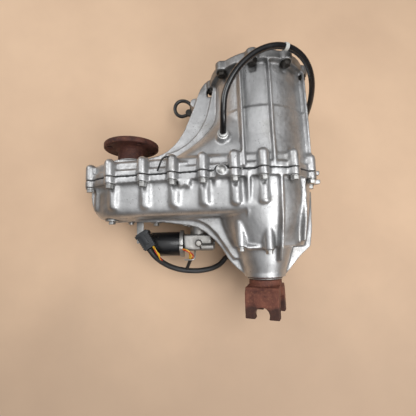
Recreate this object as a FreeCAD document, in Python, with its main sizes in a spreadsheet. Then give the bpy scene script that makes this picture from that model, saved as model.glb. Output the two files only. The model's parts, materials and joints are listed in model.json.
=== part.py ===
import FreeCAD, Part
import math
import os
import sys
import Sketcher
from FreeCAD import Placement, Rotation, Vector

# Chain-driven two-output transfer case, lying about as it is installed.
# Frame: origin at the centre of the transmission mounting face, +Y forward out of that face,
# +X to the right, +Z up. The main shaft lies on the Y axis, so everything behind the face has y < 0.

DIMENSIONS = [
    ("split_y", -217.0, "joint plane between the two castings"),
    ("front_x", -266.02, "front output axis, sideways from the main shaft"),
    ("front_z", -19.0, "front output axis, below the main shaft"),
    ("rim_main", 97.0, "joint flange radius round the main shaft"),
    ("rim_front", 78.0, "joint flange radius round the front output"),
    ("rim_fwd", 11.0, "joint flange thickness, front casting"),
    ("rim_aft", 12.0, "joint flange thickness, rear casting"),
    ("gasket_t", 0.6, "sealant bead thickness"),
    ("bolt_out", 2.0, "case bolts stand this far outside the joint outline"),
    ("case_boss", 9.5, "case bolt boss radius"),
    ("case_hole", 4.3, "case bolt hole radius"),
    ("cover_in", 4.0, "front chain cover wall, inside the joint outline"),
    ("cover_deep", 31.0, "front chain cover depth from the joint"),
    ("tub_in", 12.0, "rear chain tub wall, inside the joint outline"),
    ("tub_deep", 73.0, "rear chain tub depth from the joint"),
    ("wall", 6.0, "casting wall"),
    ("ring_r", 95.0, "transmission flange radius"),
    ("ring_t", 17.0, "transmission flange thickness"),
    ("ring_bolt", 92.0, "transmission bolt circle radius"),
    ("ring_boss", 12.0, "transmission bolt boss radius"),
    ("ring_hole", 5.3, "transmission bolt hole radius"),
    ("pilot_r", 66.0, "pilot recess radius in the transmission face"),
    ("pilot_d", 14.0, "pilot recess depth"),
    ("barrel_r", 86.0, "front barrel radius at the transmission flange"),
    ("web_t", 13.0, "side web thickness"),
    ("neck_r", 39.0, "tail neck radius"),
    ("neck_y", -407.0, "rear end of the tail neck"),
    ("gear_m", 1.75, "gear module of the low range"),
    ("sun_n", 44.0, "sun gear teeth"),
    ("pinion_n", 14.0, "planet gear teeth"),
    ("ringgear_n", 72.0, "ring gear teeth"),
    ("gear_aft", -96.0, "rear face of the low range gears"),
    ("gear_w", 30.0, "low range gear face width"),
    ("shaft_r", 17.0, "main shaft radius"),
    ("chain_pitch", 9.525, "chain pitch"),
    ("chain_y", -236.0, "middle plane of the chain"),
    ("chain_w", 31.0, "chain width"),
    ("sprocket_n", 34.0, "teeth of both sprockets"),
    ("flange_r", 56.0, "front output flange radius"),
    ("flange_t", 11.0, "front output flange thickness"),
    ("flange_y", -141.0, "rear face of the front output flange"),
    ("flange_pcr", 45.0, "front output flange bolt circle radius"),
    ("flange_hole", 5.6, "front output flange hole radius"),
    ("hub_r", 24.0, "front output flange hub radius"),
    ("yoke_r", 31.0, "rear yoke neck radius"),
    ("yoke_y", -410.0, "front end of the visible yoke neck"),
    ("cap_r", 13.5, "bearing cap seat radius in the yoke"),
    ("cap_y", -471.0, "cross axis of the yoke"),
    ("rail_x", -62.0, "shift rail, sideways"),
    ("rail_z", 26.0, "shift rail, height"),
    ("motor_x", -234.0, "closed end of the shift motor"),
    ("motor_y", -341.0, "shift motor axis"),
    ("motor_z", -50.0, "shift motor axis height"),
    ("motor_r", 25.5, "shift motor can radius"),
    ("hose_r", 5.6, "breather hose radius"),
    ("sleeve_r", 5.6, "wiring sleeve radius"),
]


class Dim:
    """A sheet cell or a sum of cells: a number now, and the expression that keeps it driven."""

    def __init__(self, value, text):
        self.value = value
        self.text = text

    def join(self, other, sign, value):
        return Dim(value, "(%s %s %s)" % (self.text, sign, as_text(other)))

    def __add__(self, other):
        return self.join(other, "+", self.value + as_number(other))

    def __sub__(self, other):
        return self.join(other, "-", self.value - as_number(other))

    def __mul__(self, other):
        return self.join(other, "*", self.value * as_number(other))

    def __truediv__(self, other):
        return self.join(other, "/", self.value / as_number(other))

    def __float__(self):
        return self.value


def as_number(item):
    return item.value if isinstance(item, Dim) else float(item)


def as_text(item):
    return item.text if isinstance(item, Dim) else repr(float(item))


class Cells:
    """The driving sheet; every alias is an attribute."""

    def __init__(self, document):
        self.sheet = document.addObject("Spreadsheet::Sheet", "dims")
        for row, (alias, value, meaning) in enumerate(DIMENSIONS, start=1):
            self.sheet.set("A%d" % row, meaning)
            self.sheet.set("B%d" % row, str(value))
            self.sheet.setAlias("B%d" % row, alias)
            setattr(self, alias, Dim(value, "dims." + alias))
        document.recompute()


doc = FreeCAD.newDocument("transfer_case")
S = Cells(doc)
NODES = []


# ---------------------------------------------------------------- helpers

def drive(thing, prop, size):
    """Set a property and bind it to the sheet."""
    if "." not in prop:
        setattr(thing, prop, as_number(size))
    if isinstance(size, Dim):
        thing.setExpression(prop, size.text)


def place(thing, at, rotation=None):
    """Placement of a sub-part, its base bound to the sheet where the numbers come from it."""
    base = Vector(*[as_number(v) for v in at])
    thing.Placement = Placement(base, rotation or Rotation())
    for axis, size in zip("xyz", at):
        drive(thing, ".Placement.Base." + axis, size)


def node(thing, label):
    thing.Label = label
    NODES.append(thing)
    return thing


AIM = {
    "+X": Rotation(Vector(0, 1, 0), 90),
    "-X": Rotation(Vector(0, 1, 0), -90),
    "+Y": Rotation(Vector(1, 0, 0), -90),
    "-Y": Rotation(Vector(1, 0, 0), 90),
    "+Z": Rotation(),
    "-Z": Rotation(Vector(1, 0, 0), 180),
}


def cylinder(name, radius, length, at, aim="+Y"):
    rod = doc.addObject("Part::Cylinder", name)
    drive(rod, "Radius", radius)
    drive(rod, "Height", length)
    place(rod, at, AIM[aim] if isinstance(aim, str) else aim)
    return rod


def cone(name, radius1, radius2, length, at, aim="+Y"):
    thing = doc.addObject("Part::Cone", name)
    drive(thing, "Radius1", radius1)
    drive(thing, "Radius2", radius2)
    drive(thing, "Height", length)
    place(thing, at, AIM[aim])
    return thing


def box(name, size, at, rotation=None):
    block = doc.addObject("Part::Box", name)
    for prop, value in zip(("Length", "Width", "Height"), size):
        drive(block, prop, value)
    place(block, at, rotation)
    return block


def ball(name, radius, at):
    thing = doc.addObject("Part::Sphere", name)
    drive(thing, "Radius", radius)
    place(thing, at)
    return thing


def feature(name, shape):
    thing = doc.addObject("Part::Feature", name)
    thing.Shape = shape
    return thing


def fuse(name, things):
    joined = doc.addObject("Part::MultiFuse", name)
    joined.Shapes = things
    joined.Refine = False
    return joined


def cut(name, base, tools):
    tool = tools[0] if len(tools) == 1 else fuse(name + "_tools", tools)
    thing = doc.addObject("Part::Cut", name)
    thing.Base = base
    thing.Tool = tool
    thing.Refine = False
    return thing


def group(name, things):
    """Separate solids of one kind kept in one node."""
    kept = doc.addObject("Part::Compound", name)
    kept.Links = things
    return kept


def plane(body, role):
    return [f for f in body.Origin.OriginFeatures if f.Role == role][0]


def profile(body, name, points, role="XY_Plane"):
    """Closed polygon sketch whose every corner is driven by the sheet."""
    sketch = body.newObject("Sketcher::SketchObject", name)
    sketch.AttachmentSupport = [(plane(body, role), "")]
    sketch.MapMode = "FlatFace"
    ends = [Vector(as_number(a), as_number(b), 0) for a, b in points]
    count = len(ends)
    lines = [Part.LineSegment(ends[i], ends[(i + 1) % count]) for i in range(count)]
    sketch.addGeometry(lines, False)
    rules = [Sketcher.Constraint("Coincident", i, 2, (i + 1) % count, 1) for i in range(count)]
    for i, (a, b) in enumerate(points):
        rules.append(Sketcher.Constraint("DistanceX", i, 1, as_number(a)))
        rules.append(Sketcher.Constraint("DistanceY", i, 1, as_number(b)))
    sketch.addConstraint(rules)
    for i, pair in enumerate(points):
        for step, value in enumerate(pair):
            if isinstance(value, Dim):
                sketch.setExpression("Constraints[%d]" % (count + 2 * i + step), value.text)
    return sketch


def turned(name, points, at=(0, 0, 0)):
    """Body revolved about the Y axis from (radius, y) corners."""
    body = doc.addObject("PartDesign::Body", name)
    sketch = profile(body, name + "_profile", points)
    spin = body.newObject("PartDesign::Revolution", name + "_turn")
    spin.Profile = sketch
    spin.ReferenceAxis = (sketch, ["V_Axis"])
    spin.Angle = 360.0
    place(body, at)
    return body


def padded_plate(name, points, thickness, at=(0, 0, 0), role="YZ_Plane"):
    """Body padded both ways from a closed profile: ribs and plates."""
    body = doc.addObject("PartDesign::Body", name)
    sketch = profile(body, name + "_profile", points, role)
    pad = body.newObject("PartDesign::Pad", name + "_pad")
    pad.Profile = sketch
    pad.Midplane = True
    drive(pad, "Length", thickness)
    place(body, at)
    return body


def ring_of(name, outer, inner, length, at):
    """Plain washer-like ring on the Y axis direction."""
    return turned(name, [(inner, 0), (outer, 0), (outer, length), (inner, length)], at)


def number(alias):
    return getattr(S, alias).value


# ---------------------------------------------------------------- joint outline of the two castings

def hull_wire(c1, r1, c2, r2, y):
    """Two circles and their outer tangents, drawn in the plane y."""
    dx, dz = c2[0] - c1[0], c2[1] - c1[1]
    span = math.hypot(dx, dz)
    aim = math.atan2(dz, dx)
    lean = math.acos((r1 - r2) / span)

    def on(c, r, angle):
        return Vector(c[0] + r * math.cos(angle), y, c[1] + r * math.sin(angle))

    a, b = on(c1, r1, aim + lean), on(c1, r1, aim - lean)
    c, d = on(c2, r2, aim - lean), on(c2, r2, aim + lean)
    return Part.Wire([
        Part.Arc(a, on(c1, r1, aim + math.pi), b).toShape(),
        Part.LineSegment(b, c).toShape(),
        Part.Arc(c, on(c2, r2, aim), d).toShape(),
        Part.LineSegment(d, a).toShape(),
    ])


def joint_wire(offset, y):
    front = (number("front_x"), number("front_z"))
    return hull_wire((0, 0), number("rim_main") + offset, front, number("rim_front") + offset, y)


def joint_slab(offset, y0, y1):
    return Part.Face(joint_wire(offset, y0)).extrude(Vector(0, y1 - y0, 0))


def spline_plate(points, corners, thickness, tilt):
    """Flat web: a smooth outer edge through points, closed through corners, tilted about Y."""
    curve = Part.BSplineCurve()
    curve.interpolate([Vector(x, y, 0) for x, y in points])
    path = [Vector(points[-1][0], points[-1][1], 0)] + [Vector(x, y, 0) for x, y in corners]
    path.append(Vector(points[0][0], points[0][1], 0))
    edges = [curve.toShape()]
    for a, b in zip(path, path[1:]):
        edges.append(Part.LineSegment(a, b).toShape())
    plate = Part.Face(Part.Wire(edges)).extrude(Vector(0, 0, thickness))
    plate.translate(Vector(0, 0, -thickness / 2.0))
    plate.rotate(Vector(0, 0, 0), Vector(0, 1, 0), tilt)
    return plate


def case_bolt_places(offset):
    """(x, z) of the sixteen case bolts: round the main arc, along the tangents, round the end arc."""
    main, front = number("rim_main") + offset, number("rim_front") + offset
    fx, fz = number("front_x"), number("front_z")
    span = math.hypot(fx, fz)
    aim = math.atan2(fz, fx)
    lean = math.acos((main - front) / span)
    places = []
    for degrees in (97, 65, 33, 1, -31, -63):
        angle = math.radians(degrees)
        places.append((main * math.cos(angle), main * math.sin(angle)))
    for side, steps in ((aim - lean, (0.175, 0.38, 0.585, 0.79)), (aim + lean, (0.04, 0.26, 0.48, 0.70, 0.92))):
        foot = Vector(math.cos(side), 0, math.sin(side))
        for step in steps:
            centre = Vector(fx, 0, fz) * step
            point = centre + foot * (main + (front - main) * step)
            places.append((point.x, point.z))
    for degrees in (103, 146, 190, 233):
        angle = math.radians(degrees)
        places.append((fx + front * math.cos(angle), fz + front * math.sin(angle)))
    return places


def ring_bolt_places():
    r = number("ring_bolt")
    angles = [math.radians(23 + 40 * i) for i in range(9)]
    return [(r * math.cos(a), r * math.sin(a)) for a in angles]


# ---------------------------------------------------------------- teeth

def tooth_polygon(teeth, module, addendum, dedendum, thin, phase, y):
    """Involute teeth (25 degree pressure angle) as one closed polygon in the plane y."""
    pressure = math.radians(25)
    pitch = module * teeth / 2.0
    base = pitch * math.cos(pressure)
    tip, root = pitch + addendum * module, pitch - dedendum * module
    half = math.pi / (2 * teeth) - thin / (2 * pitch)

    def lean(radius):
        angle = math.acos(min(1.0, base / radius))
        return half + math.tan(pressure) - pressure - math.tan(angle) + angle

    low = max(base, root)
    radii = [low + (tip - low) * f for f in (0.0, 0.5, 1.0)]
    side = [(root, lean(low))] + [(r, lean(r)) for r in radii if r > root + 0.01]
    tooth = [(r, -a) for r, a in side] + [(r, a) for r, a in reversed(side)]
    points = []
    for i in range(int(teeth)):
        centre = math.radians(phase) + 2 * math.pi * i / teeth
        points += [Vector(r * math.cos(centre + a), y, r * math.sin(centre + a)) for r, a in tooth]
    return Part.makePolygon(points + [points[0]])


def tooth_ring(teeth, module, addendum, dedendum, thin, phase, y, width):
    face = Part.Face(tooth_polygon(teeth, module, addendum, dedendum, thin, phase, y))
    return face.extrude(Vector(0, width, 0))


def star_ring(count, root, tip, share, y, width):
    """Straight-sided splines as a polygon prism."""
    points = []
    step = 2 * math.pi / count
    for i in range(count):
        for radius, a in ((root, -share), (tip, -share * 0.8), (tip, share * 0.8), (root, share)):
            angle = step * (i + a)
            points.append(Vector(radius * math.cos(angle), y, radius * math.sin(angle)))
    return Part.Face(Part.makePolygon(points + [points[0]])).extrude(Vector(0, width, 0))


# ---------------------------------------------------------------- front casting

def front_shoulder(inset, y0, steps):
    """Casting body between chain cover and round barrel: lofted two-circle sections."""
    wires = [hull_wire((0, 0), r1 - inset, (x2, z2), r2 - inset, y) for y, r1, x2, z2, r2 in steps]
    return Part.makeLoft(wires, True, False)


def front_case():
    ys = number("split_y")
    web_t = number("web_t")
    tilt = -math.degrees(math.atan(number("front_z") / number("front_x")))
    face = S.split_y + S.gasket_t / 2
    rim = feature("front_rim", joint_slab(0, ys + number("gasket_t") / 2, ys + number("rim_fwd")))
    cover_shape = joint_slab(-number("cover_in"), ys + 1, ys + number("cover_deep"))
    far = [e for e in cover_shape.Edges if e.BoundBox.YMin > ys + number("cover_deep") - 0.01]
    cover = feature("front_cover", cover_shape.makeFillet(9, far))
    barrel = [(ys + 2, 91, 26, -4, 77), (-150, 88, 28, -4, 74), (-102, 87, 28, -4, 72.5)]
    nose = [(-101, number("barrel_r") - 1, 26, -4, 72), (-55, number("barrel_r") - 2, 25, -4, 71.5),
            (-9, number("barrel_r") - 3, 24, -4, 71)]
    bulge = [(ys + 2, 91, -150, -11, 77), (-176, 90, -104, -6, 75), (-152, 88, -66, -4, 75),
             (-122, 86, -32, -1, 74), (-84, 84, -14, 0, 73)]
    body = [
        rim,
        cover,
        feature("barrel_aft", front_shoulder(0, ys, barrel)),
        feature("barrel_nose", front_shoulder(0, ys, nose)),
        feature("shoulder", front_shoulder(0, ys, bulge)),
        cylinder("hub_pad", S.rim_front - 26, 10, (S.front_x, S.split_y + 31, S.front_z)),
        cylinder("hub_nose", 37.0, 14, (S.front_x, S.split_y + 31, S.front_z)),
        cylinder("ring_flange", S.ring_r, S.ring_t, (0, S.ring_t * -1, 0)),
    ]
    wing_edge = [(-106, -2), (-114, -12), (-127, -44), (-142, -82), (-156, -112), (-173, -135),
                 (-197, -153), (-226, -161), (-262, -167)]
    wing_corners = [(-262, ys + 6), (-60, ys + 6), (-60, -2)]
    body.append(feature("front_web", spline_plate(wing_edge, wing_corners, web_t, tilt)))
    root_edge = [(-88, -14), (-94, -44), (-104, -82), (-124, -118), (-150, -142), (-190, -158)]
    root_corners = [(-190, ys + 6), (-40, ys + 6), (-40, -14)]
    body.append(feature("front_web_root", spline_plate(root_edge, root_corners, web_t * 2.4, tilt)))
    for i, (x, z) in enumerate(ring_bolt_places()):
        body.append(cylinder("ring_boss_%d" % i, S.ring_boss, S.ring_t + 1, (x, S.ring_t * -1 - 1, z)))
    for i, (x, z) in enumerate(case_bolt_places(number("bolt_out"))):
        body.append(cylinder("front_boss_%d" % i, S.case_boss, 24, (x, face, z)))
        body.append(ball("front_boss_end_%d" % i, S.case_boss, (x, S.split_y + 24.3, z)))
    for name, x, top in (("a", -44, 97.5), ("b", 8, 98)):
        edge = [(S.split_y + 4, 40), (S.split_y + 4, top), (-60, top - 2), (-22, top - 4), (-16, 40)]
        body.append(padded_plate("front_rib_" + name, edge, 4.2, (x, 0, 0)))
    corner = [(S.split_y + 4, 20), (S.split_y + 4, 58), (-120, 57), (-16, 52), (-16, 20)]
    body.append(padded_plate("front_rib_c", corner, 4.2, (84, 0, 0)))
    low = [(S.split_y + 4, -40), (S.split_y + 4, -97), (-60, -95), (-22, -93), (-16, -40)]
    for name, x in (("d", -34), ("e", 22)):
        body.append(padded_plate("front_rib_" + name, low, 4.2, (x, 0, 0)))
    body.append(cylinder("vent_seat", 10.5, 40, (-77.5, -152.3, 44), "+Z"))
    body.append(cylinder("gallery_boss", 5.0, 36, (-177, -200.5, 71), "+X"))
    body.append(box("pry_lug_front", (26, 9, 14), (93, S.split_y + 5, -6)))
    body.append(cylinder("cam_boss", 14.0, 30, (-128, -180, -40)))
    body.append(cylinder("loop_boss", 11.0, 36, (-128, -42, -46), "+Z"))

    fx, fz = S.front_x, S.front_z
    bore = [(0, 1), (S.pilot_r, 1), (S.pilot_r, S.pilot_d * -1), (36, S.pilot_d * -1), (36, -24), (34, -24),
            (34, -26), (40, -26), (40, -46), (50, -46), (50, -54), (70, -54), (70, -100), (76, -100),
            (76, S.split_y - 1), (0, S.split_y - 1)]
    inner = [(ys - 1, 84, -150, -11, 68), (-186, 80, -110, -8, 68), (-165, 76, -66, -6, 66),
             (-126, 74, -30, -2, 64)]
    hollow = [
        turned("front_bore", bore),
        feature("cover_hollow", joint_slab(-10, ys - 1, ys + number("cover_deep") - number("wall"))),
        feature("shoulder_hollow", front_shoulder(0, ys, inner)),
        cylinder("hub_hollow", 44.0, 36, (fx, S.split_y, fz)),
        cylinder("cam_front_hole", 8.05, 14, (-128, -181, -40)),
        cylinder("vent_hole", 4.05, 70, (-77.5, -152.3, 30), "+Z"),
        cylinder("loop_hole", 4.1, 16, (-128, -42, -47), "+Z"),
        cylinder("fork_relief", 13.2, 29, (S.rail_x, -147, S.rail_z)),
        cylinder("cup_notch", 11.6, 50, (-82, S.split_y - 1, 57), "+Z"),
    ]
    for i, (x, z) in enumerate(ring_bolt_places()):
        hollow.append(cylinder("ring_hole_%d" % i, S.ring_hole, 26, (x, -22, z)))
        hollow.append(cylinder("ring_spot_%d" % i, 11.2, 16, (x, S.ring_t * -1 - 17, z)))
    for i, (x, z) in enumerate(case_bolt_places(number("bolt_out"))):
        hollow.append(cylinder("front_hole_%d" % i, 4.05, 24, (x, S.split_y - 1, z)))
    for i, (x, z) in enumerate(dowel_places()):
        hollow.append(cylinder("front_dowel_hole_%d" % i, 4.02, 8, (x, S.split_y - 1, z)))
    shell = cut("front_shell", fuse("front_casting_solid", body), hollow)
    boss = cylinder("rail_front_boss", 12.0, 12, (S.rail_x, -118, S.rail_z))
    hole = cylinder("rail_front_hole", 7.05, 10.5, (S.rail_x, -118.5, S.rail_z))
    inner_boss = cylinder("front_bearing_boss", 37.0, 24, (fx, -205, fz))
    hub_bore = turned("hub_bore", [(0, -206), (31, -206), (31, -188), (27, -188), (27, -186), (30, -186), (30, -171),
                                   (0, -171)], (fx, 0, fz))
    hub_clear = cylinder("hub_clearance", 36.5, 60, (fx, -171.5, fz))
    return node(cut("front_casting", fuse("front_casting_full", [shell, boss, inner_boss]),
                    [hole, hub_bore, hub_clear]), "front_case")


def dowel_places():
    return [(-47, 86.0), (-262, -93.0)]


# ---------------------------------------------------------------- rear casting

def rear_case():
    ys = number("split_y")
    face = S.split_y - S.gasket_t / 2
    web_t = number("web_t")
    tilt = -math.degrees(math.atan(number("front_z") / number("front_x")))
    tub_shape = joint_slab(-number("tub_in"), ys - 1, ys - number("tub_deep"))
    far = [e for e in tub_shape.Edges if e.BoundBox.YMax < ys - number("tub_deep") + 0.01]
    barrel = [(ys - 2, 87, 20, -3, 76), (-292, 82, 22, -3, 68), (-350, 60, 26, -2, 52)]
    body = [
        feature("rear_rim", joint_slab(0, ys - number("gasket_t") / 2, ys - number("rim_aft"))),
        feature("tub", tub_shape.makeFillet(16, far)),
        feature("rear_barrel", front_shoulder(0, ys, barrel)),
        turned("tail", [(0, -340), (54, -340), (54, -354), (46, -380), (S.neck_r, -398), (S.neck_r, S.neck_y),
                        (0, S.neck_y)]),
        cylinder("rear_shaft_boss", 31.0, 19, (S.front_x, -284, S.front_z)),
        cylinder("cam_rear_boss", 15.0, 20, (-128, -290, -40)),
    ]
    sweep = [(-262, -292), (-232, -296), (-200, -297), (-166, -302), (-130, -310), (-105, -327), (-83, -351),
             (-68, -375), (-50, -394), (-34, -405)]
    body.append(feature("rear_web", spline_plate(sweep, [(0, -405), (0, -260), (-262, -260)], web_t, tilt)))
    inner_sweep = [(-210, -288), (-160, -292), (-118, -300), (-94, -320), (-76, -346), (-58, -372)]
    body.append(feature("rear_web_root",
                        spline_plate(inner_sweep, [(0, -372), (0, -260), (-210, -260)], web_t * 2.3, tilt)))
    end_edge = [(-352, -219.5), (-351, -240), (-347, -262), (-337, -279), (-322, -289), (-303, -294), (-282, -294.5),
                (-262, -292)]
    body.append(feature("end_web", spline_plate(end_edge, [(-262, -219.5)], 8, tilt)))
    rib_edge = [(-319, -219.5), (-318, -245), (-313.5, -266), (-304, -281), (-289, -290), (-262, -292.5)]
    end_rib = spline_plate(rib_edge, [(-262, -219.5)], 6, tilt)
    end_rib.translate(Vector(0, 0, 46))
    body.append(feature("end_rib", end_rib))
    side = [(0, -404), (40, -404), (70, -370), (91, -352), (96, -322), (101, -228), (0, -228)]
    right = padded_plate("right_web", side, 11, (0, 0, 0), "XY_Plane")
    body.append(right)
    for i, (x, z) in enumerate(case_bolt_places(number("bolt_out"))):
        body.append(cylinder("rear_boss_%d" % i, S.case_boss, S.rim_aft + 1.7, (x, S.split_y - S.rim_aft - 2, z)))
    added = []
    for i, (x, z) in enumerate(case_bolt_places(-16)):
        if x < 30 or z < -30:
            rod = Part.makeCylinder(11, 51, Vector(x, ys - 61, z), Vector(0, 1, 0))
            far = [e for e in rod.Edges if e.BoundBox.YMax < ys - 60.9]
            added.append(feature("column_%d" % i, rod.makeFillet(8, far)))
    ribs = (("a", -92, 82, 60, 66, 6), ("b", -37, 95, 76, 80, 5))
    for name, x, top, low, reach, thick in ribs:
        edge = [(S.split_y - 4, 50), (S.split_y - 4, top), (S.split_y - reach * 0.8, low + 3),
                (S.split_y - reach, low - 4), (S.split_y - reach, 50)]
        added.append(padded_plate("rear_rib_" + name, edge, thick, (x, 0, 0)))
    tall = [(S.split_y - 4, 30), (S.split_y - 4, 95), (-300, 88), (-352, 72), (-376, 58), (-376, 30)]
    added.append(padded_plate("rear_rib_tall", tall, 4.5, (18.5, 0, 0)))
    last = [(S.split_y - 4, 20), (S.split_y - 4, 66), (-300, 62), (-342, 46), (-342, 20)]
    added.append(padded_plate("rear_rib_right", last, 6, (66, 0, 0)))
    under = [(S.split_y - 4, -30), (S.split_y - 4, -94), (-300, -86), (-352, -68), (-376, -52), (-376, -30)]
    for name, x in (("d", -22), ("e", 26)):
        added.append(padded_plate("rear_rib_" + name, under, 5, (x, 0, 0)))
    added.append(cylinder("pump_column_left", 8.5, 44, (-50, -349, 53)))
    added.append(cylinder("pump_column_right", 9.0, 122, (-3, -355, 66)))
    added.append(box("pump_shelf", (47.4, 5, 14), (-41.4, -353, 46)))
    added.append(box("pry_lug_rear", (26, 9, 14), (93, S.split_y - 13, -6)))
    added.append(box("pry_pad", (20, 15, 16), (-157.6, S.split_y - 25, 61)))
    added.append(cylinder("cup_plug_seat", 10.5, 34, (-82, S.split_y - 1, 58), "+Z"))
    added.append(cylinder("sensor_boss", 13.0, 30, (-44, -372, -52), Rotation(Vector(0, 1, 0), 40)))

    core = [(0, -216), (76, -216), (74, -290), (48, -344), (30, -352), (30, -376), (36, -376), (36, -408),
            (0, -408)]
    hollow = [
        turned("rear_bore", core),
        feature("tub_hollow", joint_slab(-18, ys + 1, ys - number("tub_deep") + number("wall") + 1)),
        cylinder("cam_rear_hole", 8.05, 40, (-128, -310, -40)),
        cylinder("pry_notch", 4.0, 30, (-147.6, S.split_y - 26, 60), "+Z"),
        cylinder("sensor_hole", 7.1, 20, (-56, -372, -66), Rotation(Vector(0, 1, 0), 40)),
    ]
    for i, (x, z) in enumerate(case_bolt_places(number("bolt_out"))):
        hollow.append(cylinder("rear_hole_%d" % i, S.case_hole, 26, (x, S.split_y - 24, z)))
        hollow.append(cylinder("rear_spot_%d" % i, 9.6, 14, (x, S.split_y - S.rim_aft - 16, z)))
    for i, (x, z) in enumerate(dowel_places()):
        hollow.append(cylinder("rear_dowel_hole_%d" % i, 4.02, 8, (x, S.split_y - 7, z)))
    shell = cut("rear_shell", fuse("rear_casting_solid", body + added), hollow)
    extra = [
        cylinder("rear_bearing_boss", 31.0, 18, (S.front_x, -284, S.front_z)),
        cylinder("rail_boss_inner", 12.0, 16, (S.rail_x, -284, S.rail_z)),
    ]
    holes = [
        cylinder("rear_bearing_bore", 24.0, 15, (S.front_x, -281, S.front_z)),
        cylinder("rail_rear_hole", 7.05, 16, (S.rail_x, -280, S.rail_z)),
        cylinder("drain_hole", 9.1, 12, (-225, -294, -74)),
        cylinder("fill_hole", 9.1, 12, (-296, -294, 8)),
    ]
    for i, (x, z) in enumerate(motor_bolt_places()):
        holes.append(cylinder("motor_hole_%d" % i, 3.05, 10, (x, -294, z)))
    return node(cut("rear_casting", fuse("rear_casting_full", [shell] + extra), holes), "rear_case")


def motor_bolt_places():
    return [(-150, -72), (-155, -37), (-102, -62)]


def gasket():
    ys, t = number("split_y"), number("gasket_t")
    bead = joint_slab(-0.6, ys - t / 2, ys + t / 2).cut(joint_slab(-9.5, ys - t, ys + t))
    holes = [cylinder("gasket_hole_%d" % i, 5.0, 3, (x, S.split_y - 1.5, z))
             for i, (x, z) in enumerate(case_bolt_places(number("bolt_out")) + dowel_places())]
    holes.append(cylinder("gasket_cup_notch", 11.6, 50, (-82, S.split_y - 1, 57), "+Z"))
    return node(cut("gasket_cut", feature("gasket_bead", bead), holes), "case_gasket")


# ---------------------------------------------------------------- fasteners and small fittings

def case_bolts():
    bolts = []
    for i, (x, z) in enumerate(case_bolt_places(number("bolt_out"))):
        seat = S.split_y - S.rim_aft - 2
        shank = cylinder("case_bolt_shank_%d" % i, 4.0, 32, (x, seat - 1, z))
        collar = cylinder("case_bolt_collar_%d" % i, 8.6, 1.8, (x, seat - 1.8, z))
        head = feature("case_bolt_hex_%d" % i,
                       hexagon(6.5, x, z, number("split_y") - number("rim_aft") - 9.6, 7.6))
        bolts.append(fuse("case_bolt_%d" % i, [shank, collar, head]))
    return node(group("case_bolt_set", bolts), "case_bolts")


def hexagon(flat, x, z, y, height, turn=0.0):
    """Hexagonal prism along Y; flat is the distance from axis to flat."""
    radius = flat / math.cos(math.pi / 6)
    corners = []
    for i in range(7):
        angle = math.radians(turn) + math.pi / 3 * i
        corners.append(Vector(x + radius * math.cos(angle), y, z + radius * math.sin(angle)))
    return Part.Face(Part.makePolygon(corners)).extrude(Vector(0, height, 0))


def ring_bolts():
    bolts = []
    seat = -number("ring_t") - 1
    for i, (x, z) in enumerate(ring_bolt_places()):
        shank = cylinder("ring_bolt_shank_%d" % i, 5.0, 16.5, (x, seat - 1, z))
        collar = cylinder("ring_bolt_collar_%d" % i, 9.0, 1.8, (x, seat - 1.8, z))
        head = feature("ring_bolt_hex_%d" % i, hexagon(7.0, x, z, seat - 7.8, 6.2, 10 + 40 * i))
        bolts.append(fuse("ring_bolt_%d" % i, [shank, collar, head]))
    return node(group("ring_bolt_set", bolts), "adapter_bolts")


def dowels():
    pins = [cylinder("dowel_%d" % i, 4.0, 12, (x, S.split_y - 6, z)) for i, (x, z) in enumerate(dowel_places())]
    return node(group("dowel_set", pins), "dowels")


def plugs():
    made = []
    for name, x, z in (("drain", -225, -74), ("fill", -296, 8)):
        thread = cylinder(name + "_thread", 9.0, 9, (x, S.split_y - 74, z))
        head = cylinder(name + "_head", 12.5, 4, (x, S.split_y - 77, z))
        square = feature(name + "_hex", hexagon(6.0, x, z, number("split_y") - 83, 7))
        made.append(fuse(name + "_plug", [thread, head, square]))
    return node(group("plug_set", made), "fill_and_drain_plugs")


def cup_plug():
    dome = ball("cup_dome", 13.0, (-82, S.split_y - 1, 81.5))
    keep = cylinder("cup_keep", 8.0, 6, (-82, S.split_y - 1, 92), "+Z")
    top = doc.addObject("Part::Common", "cup_top")
    top.Base = dome
    top.Tool = keep
    return node(top, "cup_plug")


def bearing(label, name, outer, inner, width, at):
    """Ball bearing as one piece: races with the groove between them recessed on both sides."""
    mid = (outer + inner) / 2.0
    gap = (outer - inner) * 0.16
    points = [(inner, 0), (mid - gap, 0), (mid - gap, 2.2), (mid + gap, 2.2), (mid + gap, 0), (outer, 0),
              (outer, width), (mid + gap, width), (mid + gap, width - 2.2), (mid - gap, width - 2.2),
              (mid - gap, width), (inner, width)]
    return node(turned(name, points, at), label)


def seal(label, name, outer, inner, width, at):
    """Lip seal: outer shell, recessed face and a lip towards the shaft."""
    points = [(inner, 2), (inner + 1.5, 3.5), (outer - 3, 3.5), (outer - 3, 0), (outer, 0), (outer, width),
              (outer - 3, width), (outer - 3, width - 1.5), (inner + 1.5, width - 1.5), (inner, width - 3)]
    return node(turned(name, points, at), label)


# ---------------------------------------------------------------- low range gears and main shaft

def input_shaft():
    y, w, m = S.gear_aft, number("gear_w"), number("gear_m")
    tube = turned("input_tube", [(12, y), (34, y), (34, -65.2), (24.95, -65.2), (24.95, -15), (15, -15), (15, -76),
                                 (12, -79)])
    sun = feature("sun_teeth", tooth_ring(number("sun_n"), m, 0.9, 1.2, 0.1, 0, y.value, w))
    core = cylinder("sun_core", 33.0, 60, (0, -110, 0))
    teeth = cut("sun_ring", sun, [core])
    spline = feature("input_spline_tool", star_ring(24, 14.0, 16.3, 0.11, -76, 62))
    return node(cut("input_splined", fuse("input_blank", [tube, teeth]), [spline]), "input_shaft")


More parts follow.
